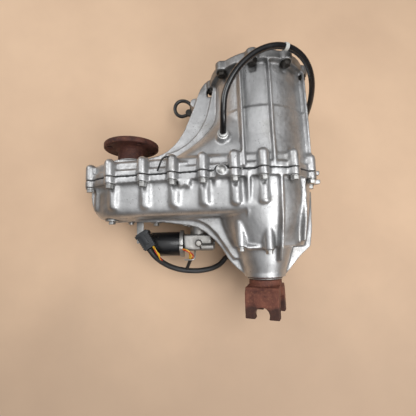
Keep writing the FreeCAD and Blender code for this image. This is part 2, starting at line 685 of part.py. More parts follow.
def ring_gear():
    y, w, m = S.gear_aft, number("gear_w"), number("gear_m")
    blank = cylinder("ring_gear_blank", 69.98, S.gear_w, (0, y, 0))
    tool = feature("ring_gear_tool", tooth_ring(number("ringgear_n"), m, 1.2, 0.9, -0.1,
                                                180.0 / number("ringgear_n"), y.value - 1, w + 2))
    return node(cut("ring_gear_cut", blank, [tool]), "ring_gear")


def pinion_places():
    radius = number("gear_m") * (number("sun_n") + number("pinion_n")) / 2
    return [(90.0 * i, radius * math.cos(math.pi / 2 * i), radius * math.sin(math.pi / 2 * i)) for i in range(4)]


def planet_carrier():
    plates = [
        turned("carrier_front", [(27, -64), (60, -64), (60, -58), (27, -58)]),
        turned("carrier_aft", [(22, -104.5), (60, -104.5), (60, -98), (26, -98), (22, -100)]),
    ]
    pieces = list(plates)
    for i, (_, x, z) in enumerate(pinion_places()):
        pieces.append(cylinder("planet_pin_%d" % i, 5.0, 46, (x, -104.5, z)))
        turn = math.pi / 4
        u, v = x * math.cos(turn) - z * math.sin(turn), x * math.sin(turn) + z * math.cos(turn)
        pieces.append(cylinder("carrier_post_%d" % i, 7.5, 44, (u, -103, v)))
    return node(fuse("carrier_weldment", pieces), "planet_carrier")


def planet_gears():
    y, w, m = number("gear_aft"), number("gear_w"), number("gear_m")
    half_step = 180.0 / number("pinion_n")
    for i, (angle, x, z) in enumerate(pinion_places()):
        teeth = tooth_ring(number("pinion_n"), m, 0.9, 1.2, 0.1, angle + half_step, y, w)
        gear = feature("pinion_teeth_%d" % i, teeth)
        bore = cylinder("pinion_bore_%d" % i, 5.05, 40, (0, -101, 0))
        made = cut("pinion_%d" % i, gear, [bore])
        place(made, (x, 0, z))
        node(made, "planet_gear_%d" % (i + 1))


def main_shaft():
    shaft = turned("main_shaft_turning", [
        (0, -80.5), (11.95, -80.5), (11.95, -97), (S.shaft_r, -98), (S.shaft_r, -262), (19, -262), (19, -266),
        (S.shaft_r, -266), (S.shaft_r, -395.5), (16, -395.5), (16, -438.5), (12, -438.5), (12, -452),
        (0, -452)])
    return node(shaft, "main_shaft")


def shift_collars():
    range_collar = turned("range_collar_turning", [(17.3, -134), (40, -134), (40, -130), (36, -130), (36, -124),
                                                   (40, -124), (40, -120), (17.3, -120)])
    node(range_collar, "range_collar")
    lock = turned("lock_collar_turning", [(17.3, -190), (30.6, -190), (30.6, -197), (40, -197), (40, -193.5),
                                          (36, -193.5), (36, -187.5), (40, -187.5), (40, -184), (17.3, -184)])
    node(lock, "lockup_collar")


def fork(name, y, width, hub_half):
    """Half-ring shift fork on the rail: jaw round the collar groove, arm and hub."""
    rail = Vector(number("rail_x"), y, number("rail_z"))
    jaw = Part.makeCylinder(47, width, Vector(0, y - width / 2, 0), Vector(0, 1, 0))
    jaw = jaw.cut(Part.makeCylinder(36.5, width + 2, Vector(0, y - width / 2 - 1, 0), Vector(0, 1, 0)))
    keep = Part.makeBox(60, width + 2, 110, Vector(-60, y - width / 2 - 1, -55))
    keep.rotate(Vector(0, 0, 0), Vector(0, 1, 0), 22.8)
    jaw = jaw.common(keep)
    hub = Part.makeCylinder(12, hub_half * 2, Vector(rail.x, y - hub_half, rail.z), Vector(0, 1, 0))
    arm = Part.makeBox(24, width, 16, Vector(-24, -width / 2, -8))
    arm.rotate(Vector(0, 0, 0), Vector(0, 1, 0), 22.8)
    arm.translate(Vector(rail.x * 0.62, y, rail.z * 0.62))
    bore = Part.makeCylinder(7.1, hub_half * 2 + 2, Vector(rail.x, y - hub_half - 1, rail.z), Vector(0, 1, 0))
    return feature(name, jaw.fuse([hub, arm]).cut(bore).removeSplitter())


def shift_parts():
    node(fork("range_fork_cast", -127.0, 5.4, 8.4), "range_fork")
    node(fork("lockup_fork_cast", -190.5, 5.4, 9), "lockup_fork")
    node(cylinder("rail_rod", 7.0, 169, (S.rail_x, -278, S.rail_z)), "shift_rail")
    shaft = cylinder("cam_spindle", 8.0, 129, (-128, -303, -40))
    drum = cylinder("cam_drum", 17.0, 30, (-128, -213, -40))
    track = []
    for i in range(13):
        angle = math.radians(-60 + 12 * i)
        spot = (-128 + 17 * math.cos(angle), -205 + 1.2 * i, -40 + 17 * math.sin(angle))
        track.append(ball("cam_track_%d" % i, 3.6, spot))
    node(cut("cam_cut", fuse("cam_blank", [shaft, drum]), track), "shift_cam")


def oil_pump():
    body = turned("pump_body", [(17.3, -160), (44, -160), (44, -150), (30, -146), (17.3, -146)])
    foot = padded_plate("pump_foot", [(-160, 30), (-160, 66), (-150, 66), (-150, 30)], 14, (-3, 0, 0))
    node(fuse("pump_housing", [body, foot]), "oil_pump")
    route = [Vector(20, -155, -36), Vector(24, -156, -56), Vector(10, -188, -64), Vector(-10, -222, -67)]
    path = smooth_path(route)
    tube = feature("pickup", tube_along(path, 4.0))
    node(fuse("pickup_body", [tube, cylinder("strainer_can", 13.0, 6, (-14, -233, -74), "+Z")]), "oil_pickup")


def sprocket(name, bore, hubs, at):
    """Toothed chain wheel on the Y axis direction with plain hubs."""
    pitch = number("chain_pitch")
    count = int(number("sprocket_n"))
    radius = pitch / (2 * math.sin(math.pi / count))
    y, w = number("chain_y") - number("chain_w") / 2, number("chain_w")
    points = []
    for i in range(count):
        centre = 2 * math.pi * (i + 0.5) / count + CHAIN_LEAN
        for r, half in ((radius - 5.6, 2.3), (radius - 1.2, 1.0)):
            points.append((r, centre - half / r))
        for r, half in ((radius - 1.2, 1.0), (radius - 5.6, 2.3)):
            points.append((r, centre + half / r))
    corners = [Vector(r * math.cos(a), y, r * math.sin(a)) for r, a in points]
    wheel = Part.Face(Part.makePolygon(corners + [corners[0]])).extrude(Vector(0, w, 0))
    web = Part.makeCylinder(40, 8, Vector(0, y - 0.1, 0), Vector(0, 1, 0))
    web2 = Part.makeCylinder(40, 8, Vector(0, y + w - 7.9, 0), Vector(0, 1, 0))
    inner = Part.makeCylinder(28, w + 2, Vector(0, y - 1, 0), Vector(0, 1, 0))
    wheel = wheel.cut([web.cut(inner), web2.cut(inner)])
    for r, y0, y1 in hubs:
        wheel = wheel.fuse(Part.makeCylinder(r, y1 - y0, Vector(0, y0, 0), Vector(0, 1, 0)))
    wheel = wheel.cut(Part.makeCylinder(bore, 90, Vector(0, y - 30, 0), Vector(0, 1, 0)))
    made = feature(name, wheel.removeSplitter())
    place(made, at)
    return made


CHAIN_LEAN = math.atan2(-19.0, -266.02) + math.pi / 2


def link(width, y0):
    """Inverted-tooth link row: two pins, bridge above, two teeth pointing inwards (local -z)."""
    half = number("chain_pitch") / 2
    corners = [(-half - 2.9, 0.4), (-half - 1.8, 3.3), (half + 1.8, 3.3), (half + 2.9, 0.4), (half + 1.2, -4.1),
               (half - 1.4, -4.1), (1.7, -0.7), (-1.7, -0.7), (-half + 1.4, -4.1), (-half - 1.2, -4.1)]
    points = [Vector(x, y0, z) for x, z in corners]
    return Part.Face(Part.makePolygon(points + [points[0]])).extrude(Vector(0, width, 0))


def chain_places():
    """Middle and direction of every row round both sprockets, in mesh with their teeth."""
    pitch = number("chain_pitch")
    count = int(number("sprocket_n"))
    radius = pitch / (2 * math.sin(math.pi / count))
    flat = radius * math.cos(math.pi / count)
    fx, fz = number("front_x"), number("front_z")
    along = Vector(fx, 0, fz).normalize()
    out = Vector(along.z, 0, -along.x) * -1
    rows = []
    straight = int(round(math.hypot(fx, fz) / pitch))
    for i in range(straight):
        rows.append((out * flat + along * (pitch * (i + 0.5)), out))
    for i in range(count // 2):
        a = math.pi * (2 * i + 1) / count
        spoke = out * math.cos(a) + along * math.sin(a)
        rows.append((Vector(fx, 0, fz) + spoke * flat, spoke))
    for i in range(straight):
        rows.append((Vector(fx, 0, fz) - out * flat - along * (pitch * (i + 0.5)), out * -1))
    for i in range(count // 2):
        a = math.pi * (2 * i + 1) / count
        spoke = (out * math.cos(a) + along * math.sin(a)) * -1
        rows.append((spoke * flat, spoke))
    return rows


def chain():
    mid = number("chain_y")
    even = [link(13.6, mid - 6.8)]
    odd = [link(7.4, mid - 14.6), link(7.4, mid + 7.2)]
    rows = []
    for i, (centre, out) in enumerate(chain_places()):
        turn = Rotation(Vector(0, 0, 1), out)
        for plate in (even if i % 2 else odd):
            moved = plate.copy()
            angle = math.degrees(math.atan2(out.x, out.z))
            moved.rotate(Vector(0, 0, 0), Vector(0, 1, 0), angle)
            moved.translate(centre)
            rows.append(moved)
    return node(feature("chain_rows", Part.makeCompound(rows)), "drive_chain")


def drive_line():
    mid, w = number("chain_y"), number("chain_w")
    low, high = mid - w / 2, mid + w / 2
    node(sprocket("drive_wheel", 17.35, [(30, low - 1, high + 10)], (0, 0, 0)), "drive_sprocket")
    at = (S.front_x, 0, S.front_z)
    node(sprocket("driven_wheel", 15.0, [(24, low - 3, high + 3)], at), "driven_sprocket")
    shaft = turned("front_shaft_turning", [
        (0, -280), (12, -280), (12, -266), (15, -266), (15, -206), (17, -206), (17, -187.5), (13, -187.5),
        (13, -137.5), (10, -137.5), (10, -120), (0, -120)], at)
    node(shaft, "front_output_shaft")
    rings = [ring_of("snap_main", 21.5, 17.0, 2, (0, low - 3.2, 0)),
             ring_of("snap_tail", 21.5, 17.0, 2, (0, -376, 0))]
    node(group("snap_ring_set", rings), "main_shaft_snap_rings")
    held = [ring_of("snap_ring_gear", 70, 67, 2, (0, -98.5, 0)),
            ring_of("snap_rear_bearing", 36, 32.5, 1.8, (0, -396.3, 0))]
    node(group("case_snap_ring_set", held), "case_snap_rings")


# ---------------------------------------------------------------- hoses, leads and wires

def smooth_path(points):
    """Straight runs joined by tangent arcs, each as large as its two runs allow."""
    edges = []
    radii = []
    start = points[0]
    for i in range(1, len(points) - 1):
        before = points[i] - points[i - 1]
        after = points[i + 1] - points[i]
        turn = before.getAngle(after)
        reach = 0.45 * min(before.Length, after.Length)
        radius = reach / math.tan(turn / 2)
        a = points[i] - Vector(before).normalize() * reach
        b = points[i] + Vector(after).normalize() * reach
        inward = (Vector(after).normalize() - Vector(before).normalize()).normalize()
        middle = points[i] + inward * (radius / math.cos(turn / 2) - radius)
        edges.append(Part.LineSegment(start, a).toShape())
        edges.append(Part.Arc(a, middle, b).toShape())
        radii.append(round(radius, 1))
        start = b
    edges.append(Part.LineSegment(start, points[-1]).toShape())
    print("bend radii", radii, "length %.1f" % sum(e.Length for e in edges))
    return Part.Wire(edges)


def tube_along(path, radius):
    start = path.Edges[0]
    circle = Part.Circle(start.valueAt(start.FirstParameter), start.tangentAt(start.FirstParameter), radius)
    tube = path.makePipeShell([Part.Wire(circle.toShape())], True, False)
    volume = math.pi * radius * radius * path.Length
    print("tube volume over section times length %.4f" % (tube.Volume / volume))
    return tube


HOSE_ROUTE = [(-77.5, -152.3, 92), (-77.5, -141, 106), (-77.5, -124, 116), (-75, -98, 121), (-62, -71, 126),
              (-42, -46, 127), (-14, -24, 125), (18, -12, 119), (48, -10, 107), (76, -18, 88), (97, -34, 60),
              (108, -52, 26), (111, -70, -10), (109, -88, -46)]
SLEEVE_ROUTE = [(-227.7, -349.9, -14), (-221, -361, -17), (-212, -372, -27), (-197, -385, -41), (-173, -396, -54),
                (-140, -401, -62),
                (-112, -399, -68), (-92, -394, -76), (-77, -384, -82), (-69.4, -373, -82.4), (-60.5, -372, -71.6)]
WIRES = {
    "connector_wires": [(-219.2, -344.6, -10), (-214.5, -352.2, -9), (-209.5, -361, -14), (-207, -370, -24),
                        (-204, -379, -33.5)],
    "motor_wires": [(-157.5, -361, -33), (-153, -367, -31), (-148, -375, -36), (-146, -384, -46)],
}


def cords():
    for label, name, route, radius in (("vent_hose", "hose", HOSE_ROUTE, number("hose_r")),
                                       ("wiring_sleeve", "sleeve", SLEEVE_ROUTE, number("sleeve_r"))):
        path = smooth_path([Vector(*p) for p in route])
        node(feature(name + "_tube", tube_along(path, radius)), label)
    wires = []
    for name, route in WIRES.items():
        path = smooth_path([Vector(*p) for p in route])
        wires.append(feature(name + "_tube", tube_along(path, 2.6)))
    node(group("wire_set", wires), "lead_wires")


def hose_fittings():
    fitting = turned("vent_turning", [(0, 0), (4, 0), (4, 12), (10, 12), (10, 14.5), (7.5, 14.5), (7.5, 19),
                                      (3.2, 19), (3.2, 25), (0, 25)])
    fitting.Placement = Placement(Vector(-77.5, -152.3, 72.0), Rotation(Vector(1, 0, 0), 90))
    node(fitting, "vent_fitting")
    run = Vector(*HOSE_ROUTE[8]) - Vector(*HOSE_ROUTE[7])
    band = Part.makeCylinder(6.6, 7, Vector(*HOSE_ROUTE[7]) + run * 0.42, run)
    band = band.cut(Part.makeCylinder(number("hose_r") + 0.02, 9, Vector(*HOSE_ROUTE[7]) + run * 0.38, run))
    node(feature("band_ring", band), "hose_band")


# ---------------------------------------------------------------- outputs

def front_flange():
    at = (S.front_x, 0, S.front_z)
    top = S.flange_y + S.flange_t
    disc = turned("flange_turning", [
        (13.05, -185.5), (S.hub_r, -185.5), (S.hub_r, -171.3), (28, -171.3), (28, S.flange_y - 5), (33, S.flange_y),
        (S.flange_r - 1.5, S.flange_y), (S.flange_r, S.flange_y + 1.5), (S.flange_r, top - 1.5),
        (S.flange_r - 1.5, top), (32, top), (32, top - 3), (22, top - 3), (22, top - 6), (13.05, top - 6)])
    holes = []
    for i in range(4):
        angle = math.radians(57 + 90 * i)
        x, z = number("flange_pcr") * math.cos(angle), number("flange_pcr") * math.sin(angle)
        holes.append(cylinder("flange_hole_%d" % i, S.flange_hole, 20, (x, S.flange_y - 4, z)))
    made = cut("flange_drilled", disc, holes)
    place(made, at)
    node(made, "front_output_flange")
    ring = [(28.02, -171), (31.5, -171), (32.5, -170), (32.5, -168.6), (28.02, -168.6)]
    slinger = turned("front_slinger", ring, at)
    node(slinger, "front_slinger")
    nut = feature("front_nut_hex", hexagon(15, 0, 0, -134.5, 10.5))
    bore = cylinder("front_nut_bore", 10.03, 30, (0, -145, 0))
    washer = ring_of("front_nut_washer", 19, 10.03, 2, (0, -136, 0))
    made = cut("front_nut_cut", fuse("front_nut_blank", [nut, washer]), [bore])
    place(made, at)
    node(made, "front_flange_nut")


def rear_yoke():
    """Universal joint yoke: sleeve, neck, shoulder and two ears with half-round cap seats."""
    y0, cap_y, cap_r = number("yoke_y"), number("cap_y"), number("cap_r")
    sleeve = turned("yoke_turning", [
        (16.05, -396.5), (25, -396.5), (25, S.yoke_y - 1.3), (S.yoke_r - 1, S.yoke_y - 1.3),
        (S.yoke_r, S.yoke_y - 2.3), (S.yoke_r, S.yoke_y - 11), (34, S.yoke_y - 16), (34, S.yoke_y - 31),
        (20, S.yoke_y - 31), (20, S.yoke_y - 29), (16.05, S.yoke_y - 29)])
    ears = []
    for side in (1, -1):
        ear = padded_plate("yoke_ear_%d" % (side + 1), [
            (13.5 * side, y0 - 12), (36 * side, y0 - 14), (42 * side, y0 - 24), (43.5 * side, y0 - 68),
            (27 * side, y0 - 68), (24.5 * side, y0 - 42), (19 * side, y0 - 31)], 61, (0, 0, 0), "XY_Plane")
        ears.append(ear)
    blank = fuse("yoke_blank", [sleeve] + ears)
    seat = cylinder("cap_seats", cap_r, 120, (-60, cap_y, 0), "+X")
    mouth = box("cap_mouths", (120, 20, cap_r * 2 - 2), (-60, cap_y - 20, -cap_r + 1))
    trims = [seat, mouth, cylinder("nut_well", 20.0, 52, (0, y0 - 81, 0))]
    for side in (1, -1):
        spin = Rotation(Vector(0, 1, 0), 0)
        low_z = 18.5 if side > 0 else -38.5
        trims.append(box("ear_bevel_%d" % (side + 1), (120, 60, 20), (-60, y0 - 71, low_z), spin))
    trims.append(cylinder("nut_bore", 16.05, 60, (0, y0 - 60, 0)))
    keep = trims[:3] + [trims[-1]]
    bolts = []
    for side in (1, -1):
        for end in (1, -1):
            bolts.append(cylinder("strap_hole_%d_%d" % (side + 1, end + 1), 3.3, 14,
                                  (35 * side, y0 - 69, 21.5 * end)))
    made = cut("yoke_cut", blank, keep + bolts)
    round_off = doc.addObject("Part::Common", "yoke_round")
    round_off.Base = made
    round_off.Tool = cone("yoke_envelope", 53.5, 50.0, 90, (0, -480, 0))
    round_off.Placement = Placement(Vector(0, 0, 0), Rotation(Vector(0, 1, 0), -113))
    node(round_off, "rear_yoke")
    nut = feature("yoke_nut_hex", hexagon(17, 0, 0, -451, 11))
    washer = ring_of("yoke_nut_washer", 19.5, 12.03, 2, (0, -441.2, 0))
    bore = cylinder("yoke_nut_bore", 12.03, 20, (0, -455, 0))
    node(cut("yoke_nut_cut", fuse("yoke_nut_blank", [nut, washer]), [bore]), "rear_yoke_nut")
    slinger = turned("rear_slinger_turning", [(25.02, -411), (32, -411), (33.5, -409.5), (33.5, -408.3),
                                              (25.02, -408.3)])
    node(slinger, "rear_slinger")


# ---------------------------------------------------------------- shift motor

def shift_motor():
    x, y, z = S.motor_x, S.motor_y, S.motor_z
    can = fuse("motor_can_body", [
        cylinder("can_side", S.motor_r, 62, (x + 4, y, z), "+X"),
        cone("can_end", S.motor_r - 4, S.motor_r, 4, (x, y, z), "+X"),
        cylinder("can_bearing", 9.0, 5, (x - 4, y, z), "+X")])
    node(can, "motor_can")
    plate = fuse("end_plate_body", [
        cylinder("end_plate_disc", 28.5, 7.5, (x + 66, y, z), "+X"),
        cylinder("end_plate_ear_a", 6.0, 7.5, (x + 66, y - 8, z + 27), "+X"),
        cylinder("end_plate_ear_b", 6.0, 7.5, (x + 66, y + 8, z - 27), "+X")])
    node(plate, "motor_end_plate")
    house = Part.makeBox(60, 34, 48, Vector(-160.3, -356, -72))
    house = house.makeFillet(5, house.Edges)
    worm = Part.makeCylinder(15, 66, Vector(-160.4, -341, -50), Vector(1, 0, 0))
    rear = Part.makeCylinder(18, 60, Vector(-128, -355, -44), Vector(0, 1, 0))
    foot = Part.makeBox(66, 8.1, 52, Vector(-161, -298.5, -80))
    foot = foot.makeFillet(3, [e for e in foot.Edges if e.Length < 9])
    rib = Part.makeBox(7, 40, 48, Vector(-131.5, -341, -75))
    boss = Part.makeCylinder(6, 30, Vector(-128, -341, -34), Vector(0, 0, 1))
    cap = Part.makeCylinder(7.5, 26, Vector(-124, -349, -27), Vector(1, 0, 0))
    shape = house.fuse([worm, rear, foot, rib, boss, cap])
    holes = [Part.makeCylinder(8.1, 16, Vector(-128, -304, -40), Vector(0, 1, 0))]
    for px, pz in motor_bolt_places():
        holes.append(Part.makeCylinder(3.2, 20, Vector(px, -302, pz), Vector(0, 1, 0)))
    holes.append(Part.makeBox(80, 20, 80, Vector(-165, -290.4, -85)))
    node(feature("gear_housing_cast", shape.cut(holes).removeSplitter()), "motor_gear_housing")
    bolts = []
    for i, (px, pz) in enumerate(motor_bolt_places()):
        rod = cylinder("motor_bolt_rod_%d" % i, 3.0, 14, (px, -299, pz))
        head = feature("motor_bolt_hex_%d" % i, hexagon(5.0, px, pz, -303.9, 5.2))
        bolts.append(fuse("motor_bolt_%d" % i, [rod, head]))
    node(group("motor_bolt_set", bolts), "motor_bolts")


def connector():
    """Wiring plug block held on a small bracket beside the motor."""
    block = Part.makeBox(24, 36, 24, Vector(-12, -18, -12))
    block = block.makeFillet(2, [e for e in block.Edges if e.Length > 30])
    lip = Part.makeBox(28, 6, 27.1, Vector(-14, 10, -13.1))
    latch = Part.makeBox(8, 20, 4, Vector(-4, -8, 11))
    ribs = [Part.makeBox(2, 22, 2, Vector(-11 + 5 * i, -16, 11)) for i in range(2)]
    foot = Part.makeBox(8, 16, 1.1, Vector(-12, -8, -13.1))
    shape = block.fuse([lip, latch, foot] + ribs)
    made = feature("plug_block", shape.removeSplitter())
    made.Placement = Placement(Vector(-233, -332, -12), Rotation(Vector(0, 0, 1), 32))
    node(made, "wiring_connector")
    strap = Part.makeBox(30, 3, 14, Vector(-280, -293.2, -44.5))
    arm = Part.makeBox(14, 48, 2.5, Vector(-256, -338.3, -27.6))
    arm = arm.fuse(Part.makeBox(14, 3, 19.4, Vector(-256, -293.2, -44.5)))
    made = feature("bracket_bend", strap.fuse(arm).removeSplitter())
    screw = fuse("bracket_screw_body", [cylinder("bracket_screw_head", 5.5, 4, (-271, -298.3, -37)),
                                        cylinder("bracket_screw_pad", 7.0, 1.0, (-271, -294.3, -37))])
    node(group("bracket_and_screw", [made, screw]), "connector_bracket")


def lifting_loop():
    """Steel rod bent to an eye, bolted under the front web."""
    path = smooth_path([Vector(*p) for p in LOOP_ROUTE])
    node(feature("loop_rod", tube_along(path, 4.0)), "harness_loop")
    tab = fuse("loop_clamp_body", [box("loop_clamp_pad", (26, 20, 4), (-142, -52, -50.2)),
                                   cylinder("loop_clamp_lip", 8.0, 5, (-144, -45, -51.2), "+Z")])
    tab = cut("loop_clamp_drilled", tab, [cylinder("loop_clamp_hole", 4.2, 20, (-128, -42, -60), "+Z")])
    bolt = fuse("loop_bolt_body", [cylinder("loop_bolt_rod", 4.0, 22, (-128, -42, -56.5), "+Z"),
                                   cylinder("loop_bolt_head", 7.5, 6, (-128, -42, -56.7), "+Z")])
    node(group("loop_clamp_set", [tab, bolt]), "loop_clamp")


LOOP_ROUTE = [(-146, -44, -57), (-158, -50, -58), (-171, -46, -59), (-178, -34, -60), (-177, -20, -60),
              (-168, -10, -60), (-155, -9, -60), (-143, -16, -59), (-136, -27, -58)]


def wire_clip():
    """Bent spring wire on the gallery boss with a small eye for a harness tie."""
    path = smooth_path([Vector(*p) for p in CLIP_ROUTE])
    node(feature("clip_wire", tube_along(path, 1.6)), "wire_clip")


CLIP_ROUTE = [(-194, -212.5, 74), (-189, -203, 80), (-184, -193, 83.5), (-176, -189.5, 84), (-168, -192.5, 82.5),
              (-163, -199, 77.4)]


def pump_bolts():
    made = []
    for name, x, z, y in (("left", -50, 53, -349), ("right", -3, 66, -355)):
        collar = cylinder("pump_bolt_collar_" + name, 7.6, 1.8, (x, y - 1.8, z))
        head = feature("pump_bolt_hex_" + name, hexagon(5.2, x, z, y - 8, 7))
        made.append(fuse("pump_bolt_" + name, [collar, head]))
    return node(group("pump_bolt_set", made), "pump_bolts")


def speed_sensor():
    turn = Rotation(Vector(0, 1, 0), 40)
    probe = cylinder("sensor_probe", 7.0, 16, (-54.5, -372, -64.5), turn)
    cap = cylinder("sensor_cap", 9.0, 9.2, (-60.2, -372, -71.3), turn)
    return node(fuse("sensor_body", [probe, cap]), "speed_sensor")


def all_bearings():
    front = S.front_x
    bearing("input_bearing", "input_bearing_turning", 39.98, 25.0, 18, (0, -45, 0))
    bearing("rear_output_bearing", "rear_bearing_turning", 35.98, 17.05, 18, (0, -394, 0))
    bearing("front_output_bearing", "front_bearing_turning", 30.98, 17.05, 15.5, (front, -204, S.front_z))
    bearing("front_shaft_rear_bearing", "front_rear_bearing_turning", 23.98, 12.05, 13, (front, -280, S.front_z))
    seal("input_seal", "input_seal_turning", 35.98, 25.0, 8.5, (0, -23.5, 0))
    seal("rear_output_seal", "rear_seal_turning", 35.98, 25.05, 9.5, (0, -407, 0))
    seal("front_output_seal", "front_seal_turning", 29.98, 24.05, 9.5, (front, -185, S.front_z))


def finish():
    doc.recompute()
    bad = [o.Name for o in doc.Objects if "Invalid" in o.State or "Error" in o.State]
    if bad:
        sys.exit("failed objects: " + ", ".join(bad))
    os.makedirs("parts", exist_ok=True)
    for thing in NODES:
        shape = thing.Shape
        if shape.isNull() or not shape.isValid():
            sys.exit("bad shape: " + thing.Label)
        shape.exportStep("parts/%s.step" % thing.Label)
        size = shape.BoundBox
        print("%-26s solids %3d faces %4d volume %8.1f cm3  z %7.1f..%6.1f" % (
            thing.Label, len(shape.Solids), len(shape.Faces), shape.Volume / 1000.0, size.ZMin, size.ZMax))


front_case()
rear_case()
gasket()
case_bolts()
ring_bolts()
dowels()
plugs()
cup_plug()
all_bearings()
input_shaft()
ring_gear()
planet_carrier()
planet_gears()
main_shaft()
shift_collars()
shift_parts()
oil_pump()
chain()
drive_line()
cords()
hose_fittings()
front_flange()
rear_yoke()
shift_motor()
connector()
lifting_loop()
wire_clip()
pump_bolts()
speed_sensor()
finish()
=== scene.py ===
import json
import math

import bmesh
import bpy
import numpy as np
from mathutils import Matrix, Vector

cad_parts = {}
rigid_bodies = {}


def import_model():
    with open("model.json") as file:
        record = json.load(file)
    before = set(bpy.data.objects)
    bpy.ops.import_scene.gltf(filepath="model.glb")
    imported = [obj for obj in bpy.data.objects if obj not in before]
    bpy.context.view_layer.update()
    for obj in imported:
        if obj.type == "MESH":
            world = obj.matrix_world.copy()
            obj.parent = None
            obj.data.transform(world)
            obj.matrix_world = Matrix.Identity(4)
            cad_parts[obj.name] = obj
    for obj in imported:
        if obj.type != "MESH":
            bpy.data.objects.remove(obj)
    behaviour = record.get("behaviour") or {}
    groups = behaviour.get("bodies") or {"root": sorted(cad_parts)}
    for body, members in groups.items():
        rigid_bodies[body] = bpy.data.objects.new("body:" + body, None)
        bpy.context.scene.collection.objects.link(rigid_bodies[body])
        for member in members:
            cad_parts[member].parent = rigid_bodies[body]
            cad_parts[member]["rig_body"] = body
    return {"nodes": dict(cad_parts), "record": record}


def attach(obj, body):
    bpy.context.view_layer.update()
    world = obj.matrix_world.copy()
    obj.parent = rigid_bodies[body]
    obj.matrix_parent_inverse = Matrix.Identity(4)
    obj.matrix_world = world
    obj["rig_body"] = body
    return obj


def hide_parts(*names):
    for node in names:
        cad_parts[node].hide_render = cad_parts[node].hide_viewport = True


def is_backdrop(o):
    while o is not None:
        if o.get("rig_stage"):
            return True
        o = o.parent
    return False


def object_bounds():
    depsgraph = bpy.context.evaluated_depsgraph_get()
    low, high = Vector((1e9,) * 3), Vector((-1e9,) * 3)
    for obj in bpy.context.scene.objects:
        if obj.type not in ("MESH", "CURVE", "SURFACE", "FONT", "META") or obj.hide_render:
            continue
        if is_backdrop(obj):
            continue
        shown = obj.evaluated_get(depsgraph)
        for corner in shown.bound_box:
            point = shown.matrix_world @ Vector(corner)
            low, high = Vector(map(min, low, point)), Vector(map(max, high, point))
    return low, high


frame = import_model()
SIZES = {"at_load": [[float(v) for v in corner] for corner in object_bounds()]}
NODES = frame["nodes"]
MM = 0.001
MOST_TRIANGLES = 185000
WELD = 2e-6
SHARP_EDGE = math.radians(32)


# ---------------------------------------------------------------- materials

class Nodes:
    """A node tree being written: add() makes a node, link() joins two sockets, feed() sets or joins an input,
    and put() does so on the surface shader. The rest each make one node and return its output."""

    def __init__(self, name):
        self.material = bpy.data.materials.new(name)
        self.material.use_nodes = True
        self.tree = self.material.node_tree
        self.tree.nodes.clear()
        self.out = self.add("ShaderNodeOutputMaterial")
        self.surface = self.add("ShaderNodeBsdfPrincipled")
        self.link(self.surface.outputs[0], self.out.inputs[0])
        self.where = self.add("ShaderNodeTexCoord").outputs["Object"]

    def add(self, kind, **settings):
        made = self.tree.nodes.new(kind)
        for key, value in settings.items():
            setattr(made, key, value)
        return made

    def link(self, source, target):
        self.tree.links.new(source, target)

    def feed(self, target, value):
        if isinstance(value, bpy.types.NodeSocket):
            self.link(value, target)
        else:
            target.default_value = value

    def put(self, **inputs):
        for key, value in inputs.items():
            self.feed(self.surface.inputs[key.replace("_", " ")], value)

    def stretched(self, x, y, z):
        mapping = self.add("ShaderNodeMapping")
        self.link(self.where, mapping.inputs["Vector"])
        mapping.inputs["Scale"].default_value = (x, y, z)
        return mapping.outputs[0]

    def along(self, axis):
        """The place along one axis of the frame, in metres."""
        made = self.add("ShaderNodeSeparateXYZ")
        self.link(self.where, made.inputs[0])
        return made.outputs[axis]

    def noise(self, scale, detail=3.0, rough=0.55, where=None, distortion=0.0):
        made = self.add("ShaderNodeTexNoise")
        self.link(where or self.where, made.inputs["Vector"])
        settings = {"Scale": scale, "Detail": detail, "Roughness": rough, "Distortion": distortion}
        for key, value in settings.items():
            made.inputs[key].default_value = value
        return made.outputs["Fac"]

    def cells(self, scale):
        """The distance to the nearest of many scattered points."""
        made = self.add("ShaderNodeTexVoronoi")
        self.link(self.where, made.inputs["Vector"])
        made.inputs["Scale"].default_value = scale
        return made.outputs["Distance"]

    def span(self, value, low, high, to_low=0.0, to_high=1.0, smooth=False):
        """Carries low..high of a value over to to_low..to_high."""
        made = self.add("ShaderNodeMapRange")
        made.interpolation_type = "SMOOTHSTEP" if smooth else "LINEAR"
        self.link(value, made.inputs["Value"])
        limits = {"From Min": low, "From Max": high, "To Min": to_low, "To Max": to_high}
        for key, limit in limits.items():
            made.inputs[key].default_value = limit
        return made.outputs["Result"]

    def maths(self, operation, a, b):
        made = self.add("ShaderNodeMath", operation=operation)
        self.feed(made.inputs[0], a)
        self.feed(made.inputs[1], b)
        return made.outputs[0]

    def mix(self, factor, a, b):
        made = self.add("ShaderNodeMix", data_type="RGBA")
        self.feed(made.inputs[0], factor)
        self.feed(made.inputs[6], a if isinstance(a, bpy.types.NodeSocket) else (*a, 1.0))
        self.feed(made.inputs[7], b if isinstance(b, bpy.types.NodeSocket) else (*b, 1.0))
        return made.outputs[2]

    def bump(self, height, strength, distance, under=None):
        made = self.add("ShaderNodeBump")
        made.inputs["Strength"].default_value = strength
        made.inputs["Distance"].default_value = distance
        self.link(height, made.inputs["Height"])
        if under is not None:
            self.link(under, made.inputs["Normal"])
        return made.outputs[0]

    def hollows(self):
        """Darkness of corners and recesses: ambient occlusion over 12 mm, 1 in the open and 0 in a corner."""
        made = self.add("ShaderNodeAmbientOcclusion", samples=6, only_local=False)
        made.inputs["Distance"].default_value = 0.012
        return made.outputs["AO"]


